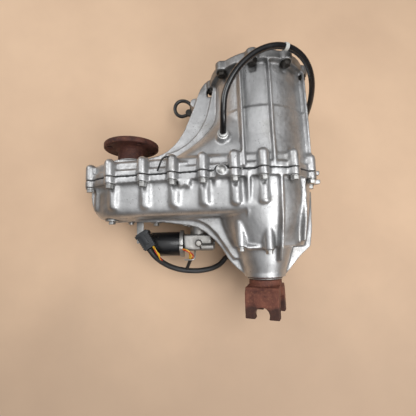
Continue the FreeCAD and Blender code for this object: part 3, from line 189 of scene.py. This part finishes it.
def cast_metal(name, light, dark, rough=0.4, painted_corner_shade=0.8, dull_end=None):
    """Die-cast aluminium: mottled brightness, flow streaks along the pull, brown stains, small dark pits,
    painted shade darkening the corners; dull_end darkens what lies past that place along Y, as old road dirt
    does."""
    n = Nodes(name)
    patches = n.noise(13, 6, 0.62, None, 0.5)
    fine = n.noise(140, 4, 0.65)
    streaks = n.noise(46, 5, 0.62, n.stretched(1.0, 0.16, 1.0))
    colour = n.mix(n.span(patches, 0.36, 0.66), dark, light)
    colour = n.mix(n.span(streaks, 0.48, 0.7, 0, 0.5), colour, tuple(c * 0.55 for c in light))
    colour = n.mix(n.span(fine, 0.5, 0.75, 0, 0.35), colour, tuple(c * 0.5 for c in light))
    stain = n.maths("MULTIPLY", n.span(n.noise(9, 6, 0.7, None, 1.2), 0.52, 0.7), 0.45)
    colour = n.mix(stain, colour, (0.25, 0.225, 0.19))
    pits = n.span(n.cells(210), 0.12, 0.2, 1, 0)
    pits = n.maths("MULTIPLY", pits, n.span(n.noise(24, 3), 0.5, 0.62))
    colour = n.mix(n.maths("MULTIPLY", pits, 0.85), colour, (0.07, 0.06, 0.055))
    if dull_end is not None:
        dirt = n.maths("ADD", n.along(1), n.span(n.noise(30, 5, 0.65), 0.3, 0.7, -0.014, 0.014))
        colour = n.mix(n.span(dirt, dull_end, dull_end + 0.014, 0, 0.62), colour, (0.13, 0.125, 0.12))
    # Painted shade: ambient occlusion darkens the colour in corners and recesses; the same mask also roughens
    # them.
    corner = n.span(n.hollows(), 0.3, 0.97, painted_corner_shade, 0, True)
    colour = n.mix(corner, colour, (0.06, 0.059, 0.058))
    n.put(Base_Color=colour, Metallic=0.9)
    polish = n.span(fine, 0.3, 0.7, rough - 0.08, rough + 0.12)
    n.put(Roughness=n.maths("ADD", polish, n.maths("MULTIPLY", corner, 0.3)))
    grain = n.bump(n.noise(700, 3, 0.6), 0.3, 0.0005)
    waves = n.bump(patches, 0.3, 0.004, grain)
    ripples = n.bump(streaks, 0.22, 0.0014, waves)
    n.put(Normal=n.bump(pits, 0.5, -0.0008, ripples))
    return n.material


def machined_metal(name, colour, rough=0.28, dull=0.3):
    """Machined or plated steel: fine turned scratches, cloudy plating."""
    n = Nodes(name)
    cloud = n.noise(70, 4)
    scratch = n.noise(1500, 2, 0.5, n.stretched(1, 0.05, 1))
    shade = n.mix(n.span(cloud, 0.35, 0.7, 0, dull), colour, tuple(c * 0.45 for c in colour))
    # Painted shade: ambient occlusion darkens the colour in corners and recesses.
    corner = n.span(n.hollows(), 0.3, 0.8, 0.55, 0, True)
    n.put(Base_Color=n.mix(corner, shade, (0.06, 0.055, 0.05)), Metallic=0.95)
    n.put(Roughness=n.span(cloud, 0.3, 0.7, rough, rough + 0.18))
    n.put(Normal=n.bump(scratch, 0.2, 0.0002))
    return n.material


def rust(name, light, dark, brown, sooty_end=None):
    """Rusted iron: orange-brown bloom over dark red-brown scale, blistered and quite matt; sooty_end darkens
    what lies before that place along Y."""
    n = Nodes(name)
    bloom = n.noise(46, 7, 0.66, None, 0.4)
    scale = n.noise(240, 5, 0.6)
    colour = n.mix(n.span(bloom, 0.36, 0.66), dark, light)
    colour = n.mix(n.span(scale, 0.52, 0.7, 0, 0.7), colour, brown)
    wear = n.span(n.cells(150), 0.02, 0.14, 0.3, 0)
    colour = n.mix(wear, colour, (0.05, 0.025, 0.02))
    if sooty_end is not None:
        soot = n.maths("ADD", n.along(1), n.span(bloom, 0.3, 0.7, -0.004, 0.004))
        sooty = n.span(soot, sooty_end - 0.003, sooty_end + 0.003, 0.72, 0)
        colour = n.mix(sooty, colour, (0.035, 0.02, 0.016))
    # Painted shade: ambient occlusion darkens the colour in corners and recesses.
    corner = n.span(n.hollows(), 0.3, 0.85, 0.6, 0, True)
    n.put(Base_Color=n.mix(corner, colour, (0.03, 0.015, 0.012)), Metallic=0.15)
    n.put(Roughness=n.span(scale, 0.3, 0.7, 0.5, 0.78), Specular_IOR_Level=0.35)
    rough = n.bump(scale, 0.45, 0.0009)
    n.put(Normal=n.bump(bloom, 0.5, 0.0016, rough))
    return n.material


def coated(name, colour, rough, grain=500, depth=0.12, coat=0.0, dust=0.15):
    """Paint, plastic or rubber: moulded grain, faint pale dust, slight gloss changes."""
    n = Nodes(name)
    cloud = n.noise(38, 5, 0.6)
    shade = n.mix(n.span(cloud, 0.45, 0.75, 0, dust), colour, tuple(min(1, 0.12 + c) for c in colour))
    n.put(Base_Color=shade, Roughness=n.span(cloud, 0.3, 0.7, rough - 0.06, rough + 0.1), Coat_Weight=coat)
    n.put(Normal=n.bump(n.noise(grain, 3), depth, 0.0004))
    return n.material


CAST_LIGHT, CAST_DARK = (0.68, 0.685, 0.69), (0.47, 0.472, 0.475)
MATERIALS = {
    "cast_aluminium": cast_metal("cast_aluminium_mottled", CAST_LIGHT, CAST_DARK),
    "zinc_casting": cast_metal("zinc_casting_grey", (0.62, 0.61, 0.59), (0.42, 0.415, 0.4), 0.38),
    "bolt_steel": machined_metal("zinc_plated_steel", (0.5, 0.5, 0.49), 0.34, 0.5),
    "dark_bolt": machined_metal("blackened_steel", (0.06, 0.055, 0.05), 0.42),
    "rusty_iron": rust("rusted_iron", (0.235, 0.085, 0.055), (0.1, 0.035, 0.026), (0.3, 0.13, 0.075)),
    "gear_steel": machined_metal("ground_gear_steel", (0.5, 0.5, 0.51), 0.22),
    "bearing_steel": machined_metal("bearing_ring_steel", (0.68, 0.68, 0.69), 0.16, 0.12),
    "black_rubber": coated("satin_black_rubber", (0.014, 0.014, 0.015), 0.46),
    "hose_rubber": coated("glossy_hose_rubber", (0.006, 0.006, 0.007), 0.2, 260, 0.1, 0.4, 0.05),
    "motor_black": coated("satin_black_enamel", (0.004, 0.004, 0.005), 0.3, 300, 0.05, 0.2, 0.02),
    "grey_plastic": coated("dark_grey_moulding", (0.016, 0.018, 0.021), 0.42, 400, 0.12, 0.0, 0.06),
    "wire_yellow": coated("yellow_wire_skin", (0.83, 0.5, 0.03), 0.38, 700, 0.04, 0.1, 0.05),
    "band_white": coated("pale_hose_band", (0.62, 0.63, 0.6), 0.42, 500, 0.1, 0.0, 0.2),
    "sealant": coated("dark_sealant_bead", (0.02, 0.02, 0.021), 0.42, 350, 0.2),
    "black_steel": coated("black_painted_rod", (0.012, 0.012, 0.012), 0.34, 420, 0.1, 0.2),
}
SLOT_OF = {row["node"]: row["material_slot"] for row in frame["record"]["subparts"]}


# ---------------------------------------------------------------- pieces from the frame

def coloured(obj, material):
    """Gives a piece one material in place of those it has; its slot stays the same."""
    obj.data.materials.clear()
    obj.data.materials.append(material)
    return obj


def settle(obj, node):
    """Gives a piece its body and its node's slot material, and lets it stand for the node it shows by hiding
    that node.
    """
    slot = SLOT_OF[node]
    coloured(obj, MATERIALS[slot])
    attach(obj, NODES[node]["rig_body"])
    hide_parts(node)
    return obj


def welded(node, name):
    """A copy of a node's mesh, its loose triangles merged and its flat faces joined, as a new object."""
    mesh = NODES[node].data.copy()
    mesh.name = name
    work = bmesh.new()
    work.from_mesh(mesh)
    bmesh.ops.remove_doubles(work, verts=work.verts, dist=WELD)
    bmesh.ops.dissolve_limit(work, angle_limit=math.radians(0.6), verts=work.verts, edges=work.edges)
    work.to_mesh(mesh)
    work.free()
    obj = bpy.data.objects.new(name, mesh)
    bpy.context.scene.collection.objects.link(obj)
    return obj


def baked(obj):
    """The object with its modifiers worked into its mesh."""
    depsgraph = bpy.context.evaluated_depsgraph_get()
    mesh = bpy.data.meshes.new_from_object(obj.evaluated_get(depsgraph))
    obj.modifiers.clear()
    obj.data = mesh
    return obj


def shade(obj, angle):
    """Smooth shading, apart from edges sharper than the angle in degrees."""
    obj.data.polygons.foreach_set("use_smooth", np.ones(len(obj.data.polygons), bool))
    obj.data.set_sharp_from_angle(angle=math.radians(angle))
    obj.data.update()
    return obj


def softened(node, name, width, shells=()):
    """A machined or pressed piece: the node's own shape with its sharp edges rounded by width millimetres."""
    obj = joined(welded(node, name), shells)
    bevel = obj.modifiers.new("edges", "BEVEL")
    bevel.width = width * MM
    bevel.segments = 2
    bevel.limit_method = "ANGLE"
    bevel.angle_limit = SHARP_EDGE
    bevel.use_clamp_overlap = True
    bevel.harden_normals = False
    bpy.context.view_layer.update()
    baked(obj)
    shade(obj, 40)
    return settle(obj, node)


def regrid(obj, voxel):
    """The object's outer skin drawn again on a grid of voxels, overlapping shells joined into one."""
    grid = obj.modifiers.new("grid", "REMESH")
    grid.mode = "VOXEL"
    grid.voxel_size = voxel * MM
    bpy.context.view_layer.update()
    return baked(obj)


def pushed(obj, reach):
    """Every point moved reach millimetres along its normal: new place = place + reach * normal."""
    mesh = obj.data
    places = np.empty(len(mesh.vertices) * 3, np.float32)
    normals = np.empty(len(mesh.vertices) * 3, np.float32)
    mesh.vertices.foreach_get("co", places)
    mesh.vertex_normals.foreach_get("vector", normals)
    mesh.vertices.foreach_set("co", places + normals * np.float32(reach * MM))
    mesh.update()
    return obj


def joined(obj, shells):
    """The object's mesh with closed shells added to it, each a pair of points and faces."""
    work = bmesh.new()
    work.from_mesh(obj.data)
    for points, faces in shells:
        corners = [work.verts.new(p) for p in points]
        for face in faces:
            work.faces.new([corners[i] for i in face])
    work.to_mesh(obj.data)
    work.free()
    return obj


def relaxed(obj, boxes, rounds):
    """Softens the skin inside some boxes of the frame, in millimetres, fading out over 8 mm at their sides:
    each point moves half its share of the way to the mean of its neighbours, rounds times."""
    mesh = obj.data
    count = len(mesh.vertices)
    places = np.empty(count * 3, np.float32)
    mesh.vertices.foreach_get("co", places)
    places = places.reshape(-1, 3).astype(float)
    share = np.zeros(count)
    for low, high in boxes:
        inside = np.minimum(places / MM - np.array(low), np.array(high) - places / MM).min(axis=1)
        share = np.maximum(share, np.clip(inside / 8.0, 0, 1))
    ends = np.empty(len(mesh.edges) * 2, np.int32)
    mesh.edges.foreach_get("vertices", ends)
    a, b = ends.reshape(-1, 2).T
    ties = np.bincount(a, minlength=count) + np.bincount(b, minlength=count)
    for _ in range(rounds):
        for axis in range(3):
            total = (np.bincount(a, weights=places[b, axis], minlength=count)
                     + np.bincount(b, weights=places[a, axis], minlength=count))
            places[:, axis] += 0.5 * share * (total / np.maximum(ties, 1) - places[:, axis])
    mesh.vertices.foreach_set("co", places.astype(np.float32).ravel())
    mesh.update()


def moulded(node, name, voxel, rounds, fillet, soft=(), soft_rounds=0):
    """A casting: the node's shape on a grid of voxels. Its skin is pushed out by the fillet and back again,
    which fills the inner corners with that radius as a mould does; then each point moves half way to the mean
    of its neighbours, rounds times, which breaks the outer edges."""
    obj = regrid(welded(node, name), voxel)
    for reach in (fillet, -fillet):
        pushed(obj, reach)
        regrid(obj, voxel)
    if soft:
        relaxed(obj, soft, soft_rounds)
    relax = obj.modifiers.new("relax", "SMOOTH")
    relax.factor = 0.5
    relax.iterations = rounds
    bpy.context.view_layer.update()
    baked(obj)
    faces = 2 * len(obj.data.polygons)
    if faces > MOST_TRIANGLES:
        thin = obj.modifiers.new("thin", "DECIMATE")
        thin.ratio = MOST_TRIANGLES / faces
        bpy.context.view_layer.update()
        baked(obj)
    shade(obj, 50)
    return settle(obj, node)


def block_shell(low, high, turn):
    """A closed box between two corners in millimetres, moved by a matrix."""
    corners = [(x, y, z) for x in (low[0], high[0]) for y in (low[1], high[1]) for z in (low[2], high[2])]
    faces = [(0, 1, 3, 2), (4, 6, 7, 5), (0, 4, 5, 1), (2, 3, 7, 6), (0, 2, 6, 4), (1, 5, 7, 3)]
    return [(turn @ Vector(corner)) * MM for corner in corners], faces


def plain(*nodes):
    """Inner nodes keep their own meshes and get their slot's material."""
    for node in nodes:
        coloured(NODES[node], MATERIALS[SLOT_OF[node]])


plain(*NODES)
TUB_WALL = ((-345, -292, 18), (-72, -229, 112))
RING_STAINED = cast_metal("cast_aluminium_stained_ring", CAST_LIGHT, CAST_DARK, 0.42, 0.8, -0.03)
# The shift gear housing: a darker grey casting, with deeper painted shade in its corners.
GEAR_HOUSING_METAL = cast_metal("zinc_casting_darker_corner_shaded", (0.5, 0.49, 0.47), (0.3, 0.29, 0.275), 0.42, 0.97)
YOKE_RUST = rust("rusted_yoke_iron", (0.235, 0.085, 0.055), (0.1, 0.035, 0.026), (0.3, 0.13, 0.075), -0.458)
FLANGE_RUST = rust("dark_rusted_flange_iron", (0.13, 0.047, 0.034), (0.05, 0.019, 0.015), (0.2, 0.085, 0.05))
coloured(moulded("front_case", "front_half_casting", 1.35, 2, 2.6), RING_STAINED)
moulded("rear_case", "rear_half_casting", 1.25, 2, 3.4,
        soft=[TUB_WALL], soft_rounds=32)
coloured(moulded("motor_gear_housing", "shift_gear_housing_casting", 0.8, 2, 1.0), GEAR_HOUSING_METAL)
coloured(moulded("rear_yoke", "rear_joint_yoke_forging", 0.75, 3, 2.0), YOKE_RUST)
coloured(softened("front_output_flange", "front_flange_forging", 0.8), FLANGE_RUST)
for node_name, piece_name, edge in (
        ("case_bolts", "case_joint_bolts", 1.3), ("adapter_bolts", "mounting_ring_bolts", 0.6),
        ("fill_and_drain_plugs", "oil_plugs", 0.5), ("motor_bolts", "shift_motor_bolts", 0.4),
        ("pump_bolts", "pump_fixing_bolts", 0.4), ("front_flange_nut", "front_locknut", 0.5),
        ("rear_yoke_nut", "rear_locknut", 0.5), ("rear_slinger", "rear_dust_slinger", 0.3),
        ("front_slinger", "front_dust_slinger", 0.3), ("vent_fitting", "breather_seat", 0.3),
        ("connector_bracket", "plug_bracket", 0.3), ("motor_end_plate", "motor_end_bell", 0.5),
        ("motor_can", "motor_drum", 1.0), ("speed_sensor", "speed_pickup", 0.5),
        ("loop_clamp", "loop_clamp_strap", 0.4),
        ("input_seal", "front_lip_seal", 0.3), ("input_shaft", "splined_input_shaft", 0.2)):
    softened(node_name, piece_name, edge)
PLUG_FRAME = Matrix.Translation((-233, -332, -12)) @ Matrix.Rotation(math.radians(32), 4, "Z")
PLUG_RIB_STEP = 4.2
softened("wiring_connector", "plug_body", 0.5, [
    block_shell((-12.8, PLUG_RIB_STEP * k - 15, -9), (12.8, PLUG_RIB_STEP * k - 13.2, 12.9), PLUG_FRAME)
    for k in range(6)])


# ---------------------------------------------------------------- hoses, wires and rods

def spline(name, route, radius, sides):
    """A NURBS line with the route's points as its control points, thickened to a round section."""
    data = bpy.data.curves.new(name, "CURVE")
    data.dimensions = "3D"
    line = data.splines.new("NURBS")
    line.points.add(len(route) - 1)
    for point, place in zip(line.points, route):
        point.co = (place[0] * MM, place[1] * MM, place[2] * MM, 1.0)
    line.order_u = 3
    line.use_endpoint_u = True
    line.resolution_u = 12
    data.bevel_depth = radius * MM
    data.bevel_resolution = sides
    data.use_fill_caps = True
    obj = bpy.data.objects.new(name, data)
    bpy.context.scene.collection.objects.link(obj)
    return obj


def as_mesh(curve):
    """A curve object turned into a mesh object of the same name."""
    bpy.context.view_layer.update()
    name = curve.name
    mesh = bpy.data.meshes.new_from_object(curve.evaluated_get(bpy.context.evaluated_depsgraph_get()))
    bpy.data.objects.remove(curve)
    mesh.name = name
    obj = bpy.data.objects.new(name, mesh)
    bpy.context.scene.collection.objects.link(obj)
    return shade(obj, 60)


def line_points(route):
    """The points along a route's NURBS line."""
    obj = spline("line_reader", route, 0.0, 0)
    bpy.context.view_layer.update()
    mesh = bpy.data.meshes.new_from_object(obj)
    points = np.array([v.co[:] for v in mesh.vertices])
    bpy.data.objects.remove(obj)
    return points


def run_length(points):
    """The length of a chain of points, in metres."""
    return float(np.linalg.norm(np.diff(points, axis=0), axis=1).sum())


HOSE = [(-77.5, -152.3, 92), (-77.5, -141, 106), (-77.5, -124, 116), (-75, -98, 121), (-62, -71, 126),
        (-42, -46, 127), (-14, -24, 125), (18, -12, 119), (48, -10, 107), (76, -18, 88), (97, -34, 60),
        (108, -52, 26), (111, -70, -10), (109, -88, -46)]
SLEEVE = [(-227.7, -349.9, -14), (-221, -361, -17), (-212, -372, -27), (-197, -385, -41), (-173, -396, -54),
          (-140, -401, -62), (-112, -399, -68), (-92, -394, -76), (-77, -384, -82), (-69.4, -373, -82.4),
          (-60.5, -372, -71.6)]
HOSE_RADIUS = 5.6
hose = settle(spline("breather_hose", HOSE, HOSE_RADIUS, 8), "vent_hose")
sleeve = settle(spline("wiring_loom_sleeve", SLEEVE, HOSE_RADIUS, 8), "wiring_sleeve")
run_length(line_points(HOSE))
run_length(line_points(SLEEVE))


CONNECTOR_WIRES = [(-219.2, -344.6, -10), (-214.5, -352.2, -9), (-209.5, -361, -14), (-207, -370, -24),
                   (-204, -379, -33.5)]
MOTOR_WIRES = [(-163, -351, -23), (-156, -353, -15), (-149, -356, -14), (-144, -362, -19), (-143, -370, -28),
               (-148, -378, -38)]
LOOP = [(-146, -44, -57), (-158, -50, -58), (-171, -46, -59), (-178, -34, -60), (-177, -20, -60),
        (-168, -10, -60), (-155, -9, -60), (-143, -16, -59), (-136, -27, -58)]
WIRE_COLOURS = {
    "yellow": MATERIALS["wire_yellow"],
    "orange": coated("orange_wire_skin", (0.75, 0.19, 0.02), 0.36, 700, 0.04, 0.1, 0.05),
    "red": coated("red_wire_skin", (0.55, 0.02, 0.015), 0.36, 700, 0.04, 0.1, 0.05),
    "white": coated("pale_wire_skin", (0.62, 0.6, 0.55), 0.4, 700, 0.04, 0.1, 0.1),
}


PLUG_LEADS = (("yellow", 0.5), ("yellow", 2.1), ("orange", 3.6), ("red", 5.0))
MOTOR_LEADS = (("yellow", 0.4, 3.4), ("orange", 1.3, 4.4), ("red", 2.2, 3.8), ("yellow", 3.1, 4.4),
               ("orange", 4.0, 2.6), ("red", 4.9, 4.6), ("yellow", 5.7, 4.8), ("white", 2.7, 1.5))


def strand(name, route, shift, turn, colour, radius):
    """One wire of a bundle. Control point k stands beside the bundle's line by shift * (cos, sin) of an angle
    that grows by turn radians from point to point, so that the wires cross each other loosely."""
    places = []
    for k, (x, y, z) in enumerate(route):
        out = shift if 0 < k < len(route) - 1 else min(shift, 1.5)
        places.append((x + out * math.cos(turn * (k + 1)), y, z + out * math.sin(turn * (k + 1))))
    wire = as_mesh(spline(name, places, radius, 3))
    coloured(settle(wire, "lead_wires"), WIRE_COLOURS[colour])


for number, (colour_name, turn) in enumerate(PLUG_LEADS, 1):
    strand("plug_wire_%d" % number, CONNECTOR_WIRES, 2.8, turn, colour_name, 1.1)
for number, (colour_name, turn, out) in enumerate(MOTOR_LEADS, 1):
    strand("motor_wire_%d" % number, MOTOR_WIRES, out, turn, colour_name, 1.3)
settle(as_mesh(spline("harness_carrier_ring", LOOP, 4.0, 6)), "harness_loop")


def fitting(name, route, radius, slot):
    """A small bent rod or sleeve that rides on the case."""
    rod = as_mesh(spline(name, route, radius, 4))
    coloured(rod, MATERIALS[slot])
    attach(rod, NODES["motor_gear_housing"]["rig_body"])


fitting("lead_guide_wire", [(-137, -353, -36), (-136, -364, -30), (-137, -373, -27), (-145, -374.5, -26),
                            (-158, -374, -28)], 1.5, "bolt_steel")
fitting("loom_branch_sleeve", [(-158, -398, -58), (-154, -391, -51), (-151, -384, -43), (-147, -376, -35),
                               (-144.5, -371, -30)], 3.6, "black_rubber")


def rim_line(node):
    """The outline of a flat sheet node: the longest chain of edges between its top face and its walls."""
    work = bmesh.new()
    work.from_mesh(NODES[node].data)
    bmesh.ops.remove_doubles(work, verts=work.verts, dist=WELD)
    ties = {}
    for edge in work.edges:
        up = [abs(face.normal.y) > 0.9 and face.normal.y > 0 for face in edge.link_faces]
        wall = [abs(face.normal.y) < 0.3 for face in edge.link_faces]
        if len(up) == 2 and any(up) and any(wall):
            a, b = edge.verts
            ties.setdefault(a.index, []).append(b.index)
            ties.setdefault(b.index, []).append(a.index)
    work.verts.ensure_lookup_table()
    chains, seen = [], set()
    for start in ties:
        if start in seen:
            continue
        chain, here = [], start
        while here is not None and here not in seen:
            seen.add(here)
            chain.append(work.verts[here].co.copy())
            here = next((v for v in ties[here] if v not in seen), None)
        chains.append(np.array([list(v) for v in chain]))
    work.free()
    return max(chains, key=lambda c: np.linalg.norm(np.diff(c, axis=0), axis=1).sum())


def ring_shell(line, radius, sides=8):
    """A closed tube round a closed line, its radius one number per point: two parameters, the place along
    the line and the angle round it; point = line + r (cos a * outward + sin a * along y)."""
    ahead = np.roll(line, -1, axis=0) - np.roll(line, 1, axis=0)
    ahead /= np.linalg.norm(ahead, axis=1)[:, None] + 1e-12
    across = np.cross(ahead, (0.0, 1.0, 0.0))
    across /= np.linalg.norm(across, axis=1)[:, None] + 1e-12
    upward = np.cross(across, ahead)
    angle = np.linspace(0, 2 * np.pi, sides, endpoint=False)
    grid = (line[:, None, :] + radius[:, None, None] * (np.cos(angle)[None, :, None] * across[:, None, :]
                                                       + np.sin(angle)[None, :, None] * upward[:, None, :]))
    count = len(line)
    faces = [(i * sides + j, i * sides + (j + 1) % sides, (i + 1) % count * sides + (j + 1) % sides,
              (i + 1) % count * sides + j) for i in range(count) for j in range(sides)]
    return grid.reshape(-1, 3), faces


def evenly(line, step):
    """A closed line cut again into even steps of about the given length."""
    line = np.vstack([line, line[:1]])
    along = np.concatenate([[0], np.cumsum(np.linalg.norm(np.diff(line, axis=0), axis=1))])
    at = np.linspace(0, along[-1], int(along[-1] / step), endpoint=False)
    return np.stack([np.interp(at, along, line[:, k]) for k in range(3)], axis=1), at


def wave(at, length, phase=0.0):
    """A sine wave along a line, of a given length in metres."""
    return np.sin(at / length * 6.283 + phase)


def sealant_bead():
    """The gasket with an uneven bead of sealant squeezed out along its rim: radius 1.2 mm plus waves of
    31, 13 and 5.7 mm length along the rim, and the bead wanders up and down by half a millimetre."""
    line, at = evenly(rim_line("case_gasket"), 0.0018)
    waves = wave(at, 0.031) + 0.8 * wave(at, 0.0131, 1.3) + 0.6 * wave(at, 0.0057)
    line[:, 1] += -0.0006 + 0.0005 * wave(at, 0.047, 0.7)
    bead = ring_shell(line, 0.0012 + 0.00032 * waves)
    obj = joined(welded("case_gasket", "sealant_squeezed_out"), [bead])
    work = bmesh.new()
    work.from_mesh(obj.data)
    bmesh.ops.recalc_face_normals(work, faces=work.faces)
    work.to_mesh(obj.data)
    work.free()
    settle(shade(obj, 50), "case_gasket")


sealant_bead()


def seal_lip():
    """The rear seal with its red-brown dust lip, a torus of 0.9 mm section at 32.2 mm radius."""
    steps, radius, section = 96, 0.0322, 0.0009
    angle = np.linspace(0, 2 * np.pi, steps, endpoint=False)
    line = np.stack([radius * np.cos(angle), np.full(steps, -0.4071), radius * np.sin(angle)], axis=1)
    lip = ring_shell(line, np.full(steps, section))
    obj = joined(welded("rear_output_seal", "rear_dust_lip_seal"), [lip])
    settle(shade(obj, 50), "rear_output_seal")
    coloured(obj, coated("red_brown_seal_rubber", (0.16, 0.035, 0.025), 0.5))


seal_lip()


# ---------------------------------------------------------------- stage, light, camera

# Each lamp: name, place, the point it looks at, the two sides of its sheet, all in metres, and its watts.
LAMPS = (
    ("key_lamp", (0.62, -0.95, 1.05), (-0.05, -0.2, 0), (0.6, 0.7), 7.0),
    ("top_lamp", (0.35, -0.1, 1.5), (-0.05, -0.15, 0), (0.8, 0.8), 7.5),
    ("left_lamp", (-1.15, 0.55, 1.0), (-0.1, -0.15, 0), (0.6, 1.0), 6.0))
# The room's light by the sine of its height: 0 is the horizon and all below it, 1 is straight up.
ROOM_TONES = ((0.0, (0.2, 0.15, 0.11)), (0.3, (0.07, 0.065, 0.06)), (0.62, (0.17, 0.17, 0.18)),
              (1.0, (0.78, 0.8, 0.84)))


def floor_sheet():
    """A wide pale floor at the case's lowest point, with painted shade making it a little darker towards the
    rear end.
    """
    low, reach = SIZES["at_load"][0][2], 9.0
    mesh = bpy.data.meshes.new("floor_sheet")
    corners = [(-reach, -reach, low), (reach, -reach, low), (reach, reach, low), (-reach, reach, low)]
    mesh.from_pydata(corners, [], [(0, 1, 2, 3)])
    floor = bpy.data.objects.new("floor_sheet", mesh)
    bpy.context.scene.collection.objects.link(floor)
    n = Nodes("pale_floor")
    tone = n.mix(n.span(n.noise(2.2, 5, 0.6), 0.35, 0.65), (0.7, 0.485, 0.325), (0.8, 0.565, 0.38))
    # Painted shade: the floor colour darkens towards the rear end, with a noisy edge.
    painted_shade_fall = n.maths("ADD", n.along(1), n.span(n.noise(5, 4), 0.3, 0.7, -0.06, 0.06))
    n.put(Base_Color=n.mix(n.span(painted_shade_fall, -0.72, -0.25, 0.5, 0, True), tone, (0.4, 0.29, 0.21)), Roughness=0.75)
    mesh.materials.append(n.material)
    floor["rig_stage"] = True


def soft_room():
    """Light from the room: warm at the horizon, dim a little higher and bright overhead."""
    world = bpy.data.worlds.new("soft_room")
    world.use_nodes = True
    tree = world.node_tree
    where = tree.nodes.new("ShaderNodeTexCoord")
    split = tree.nodes.new("ShaderNodeSeparateXYZ")
    ramp = tree.nodes.new("ShaderNodeValToRGB")
    tree.links.new(where.outputs["Generated"], split.inputs[0])
    tree.links.new(split.outputs[2], ramp.inputs[0])
    tree.links.new(ramp.outputs[0], tree.nodes["Background"].inputs[0])
    tones = ramp.color_ramp.elements
    for stop, colour in ROOM_TONES:
        point = tones[0] if stop == 0.0 else tones.new(stop)
        point.position = stop
        point.color = (*colour, 1)
    tones.remove(tones[-1])
    tree.nodes["Background"].inputs[1].default_value = 1.0
    bpy.context.scene.world = world


def lamps():
    """Soft lamps: one over the rear right, one overhead and one over the front left."""
    for name, place, aim, sides, power in LAMPS:
        data = bpy.data.lights.new(name, "AREA")
        data.shape = "RECTANGLE"
        data.size, data.size_y = sides
        data.energy = power
        lamp = bpy.data.objects.new(name, data)
        lamp.location = place
        lamp.rotation_euler = (Vector(aim) - Vector(place)).to_track_quat("-Z", "Y").to_euler()
        bpy.context.scene.collection.objects.link(lamp)


def camera():
    """The camera above the rear half of the case, looking down and a little forwards, slightly rolled."""
    tilt, roll = math.radians(7.2), math.radians(-1.6)
    back = Vector((0, -math.sin(tilt), math.cos(tilt)))
    right, up = Vector((1, 0, 0)), Vector((0, math.cos(tilt), math.sin(tilt)))
    side = right * math.cos(roll) + up * math.sin(roll)
    top = up * math.cos(roll) - right * math.sin(roll)
    data = bpy.data.cameras.new("camera")
    data.lens = 23.37
    data.sensor_width = 36
    data.clip_start = 0.01
    obj = bpy.data.objects.new("camera", data)
    turn = Matrix((side, top, back)).transposed().to_4x4()
    obj.matrix_world = Matrix.Translation((-0.107, -0.3393, 0.537)) @ turn
    bpy.context.scene.collection.objects.link(obj)
    bpy.context.scene.camera = obj


floor_sheet()
soft_room()
lamps()
camera()
bpy.context.scene.view_settings.view_transform = "Standard"
SIZES["at_finish"] = [[float(v) for v in corner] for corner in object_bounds()]
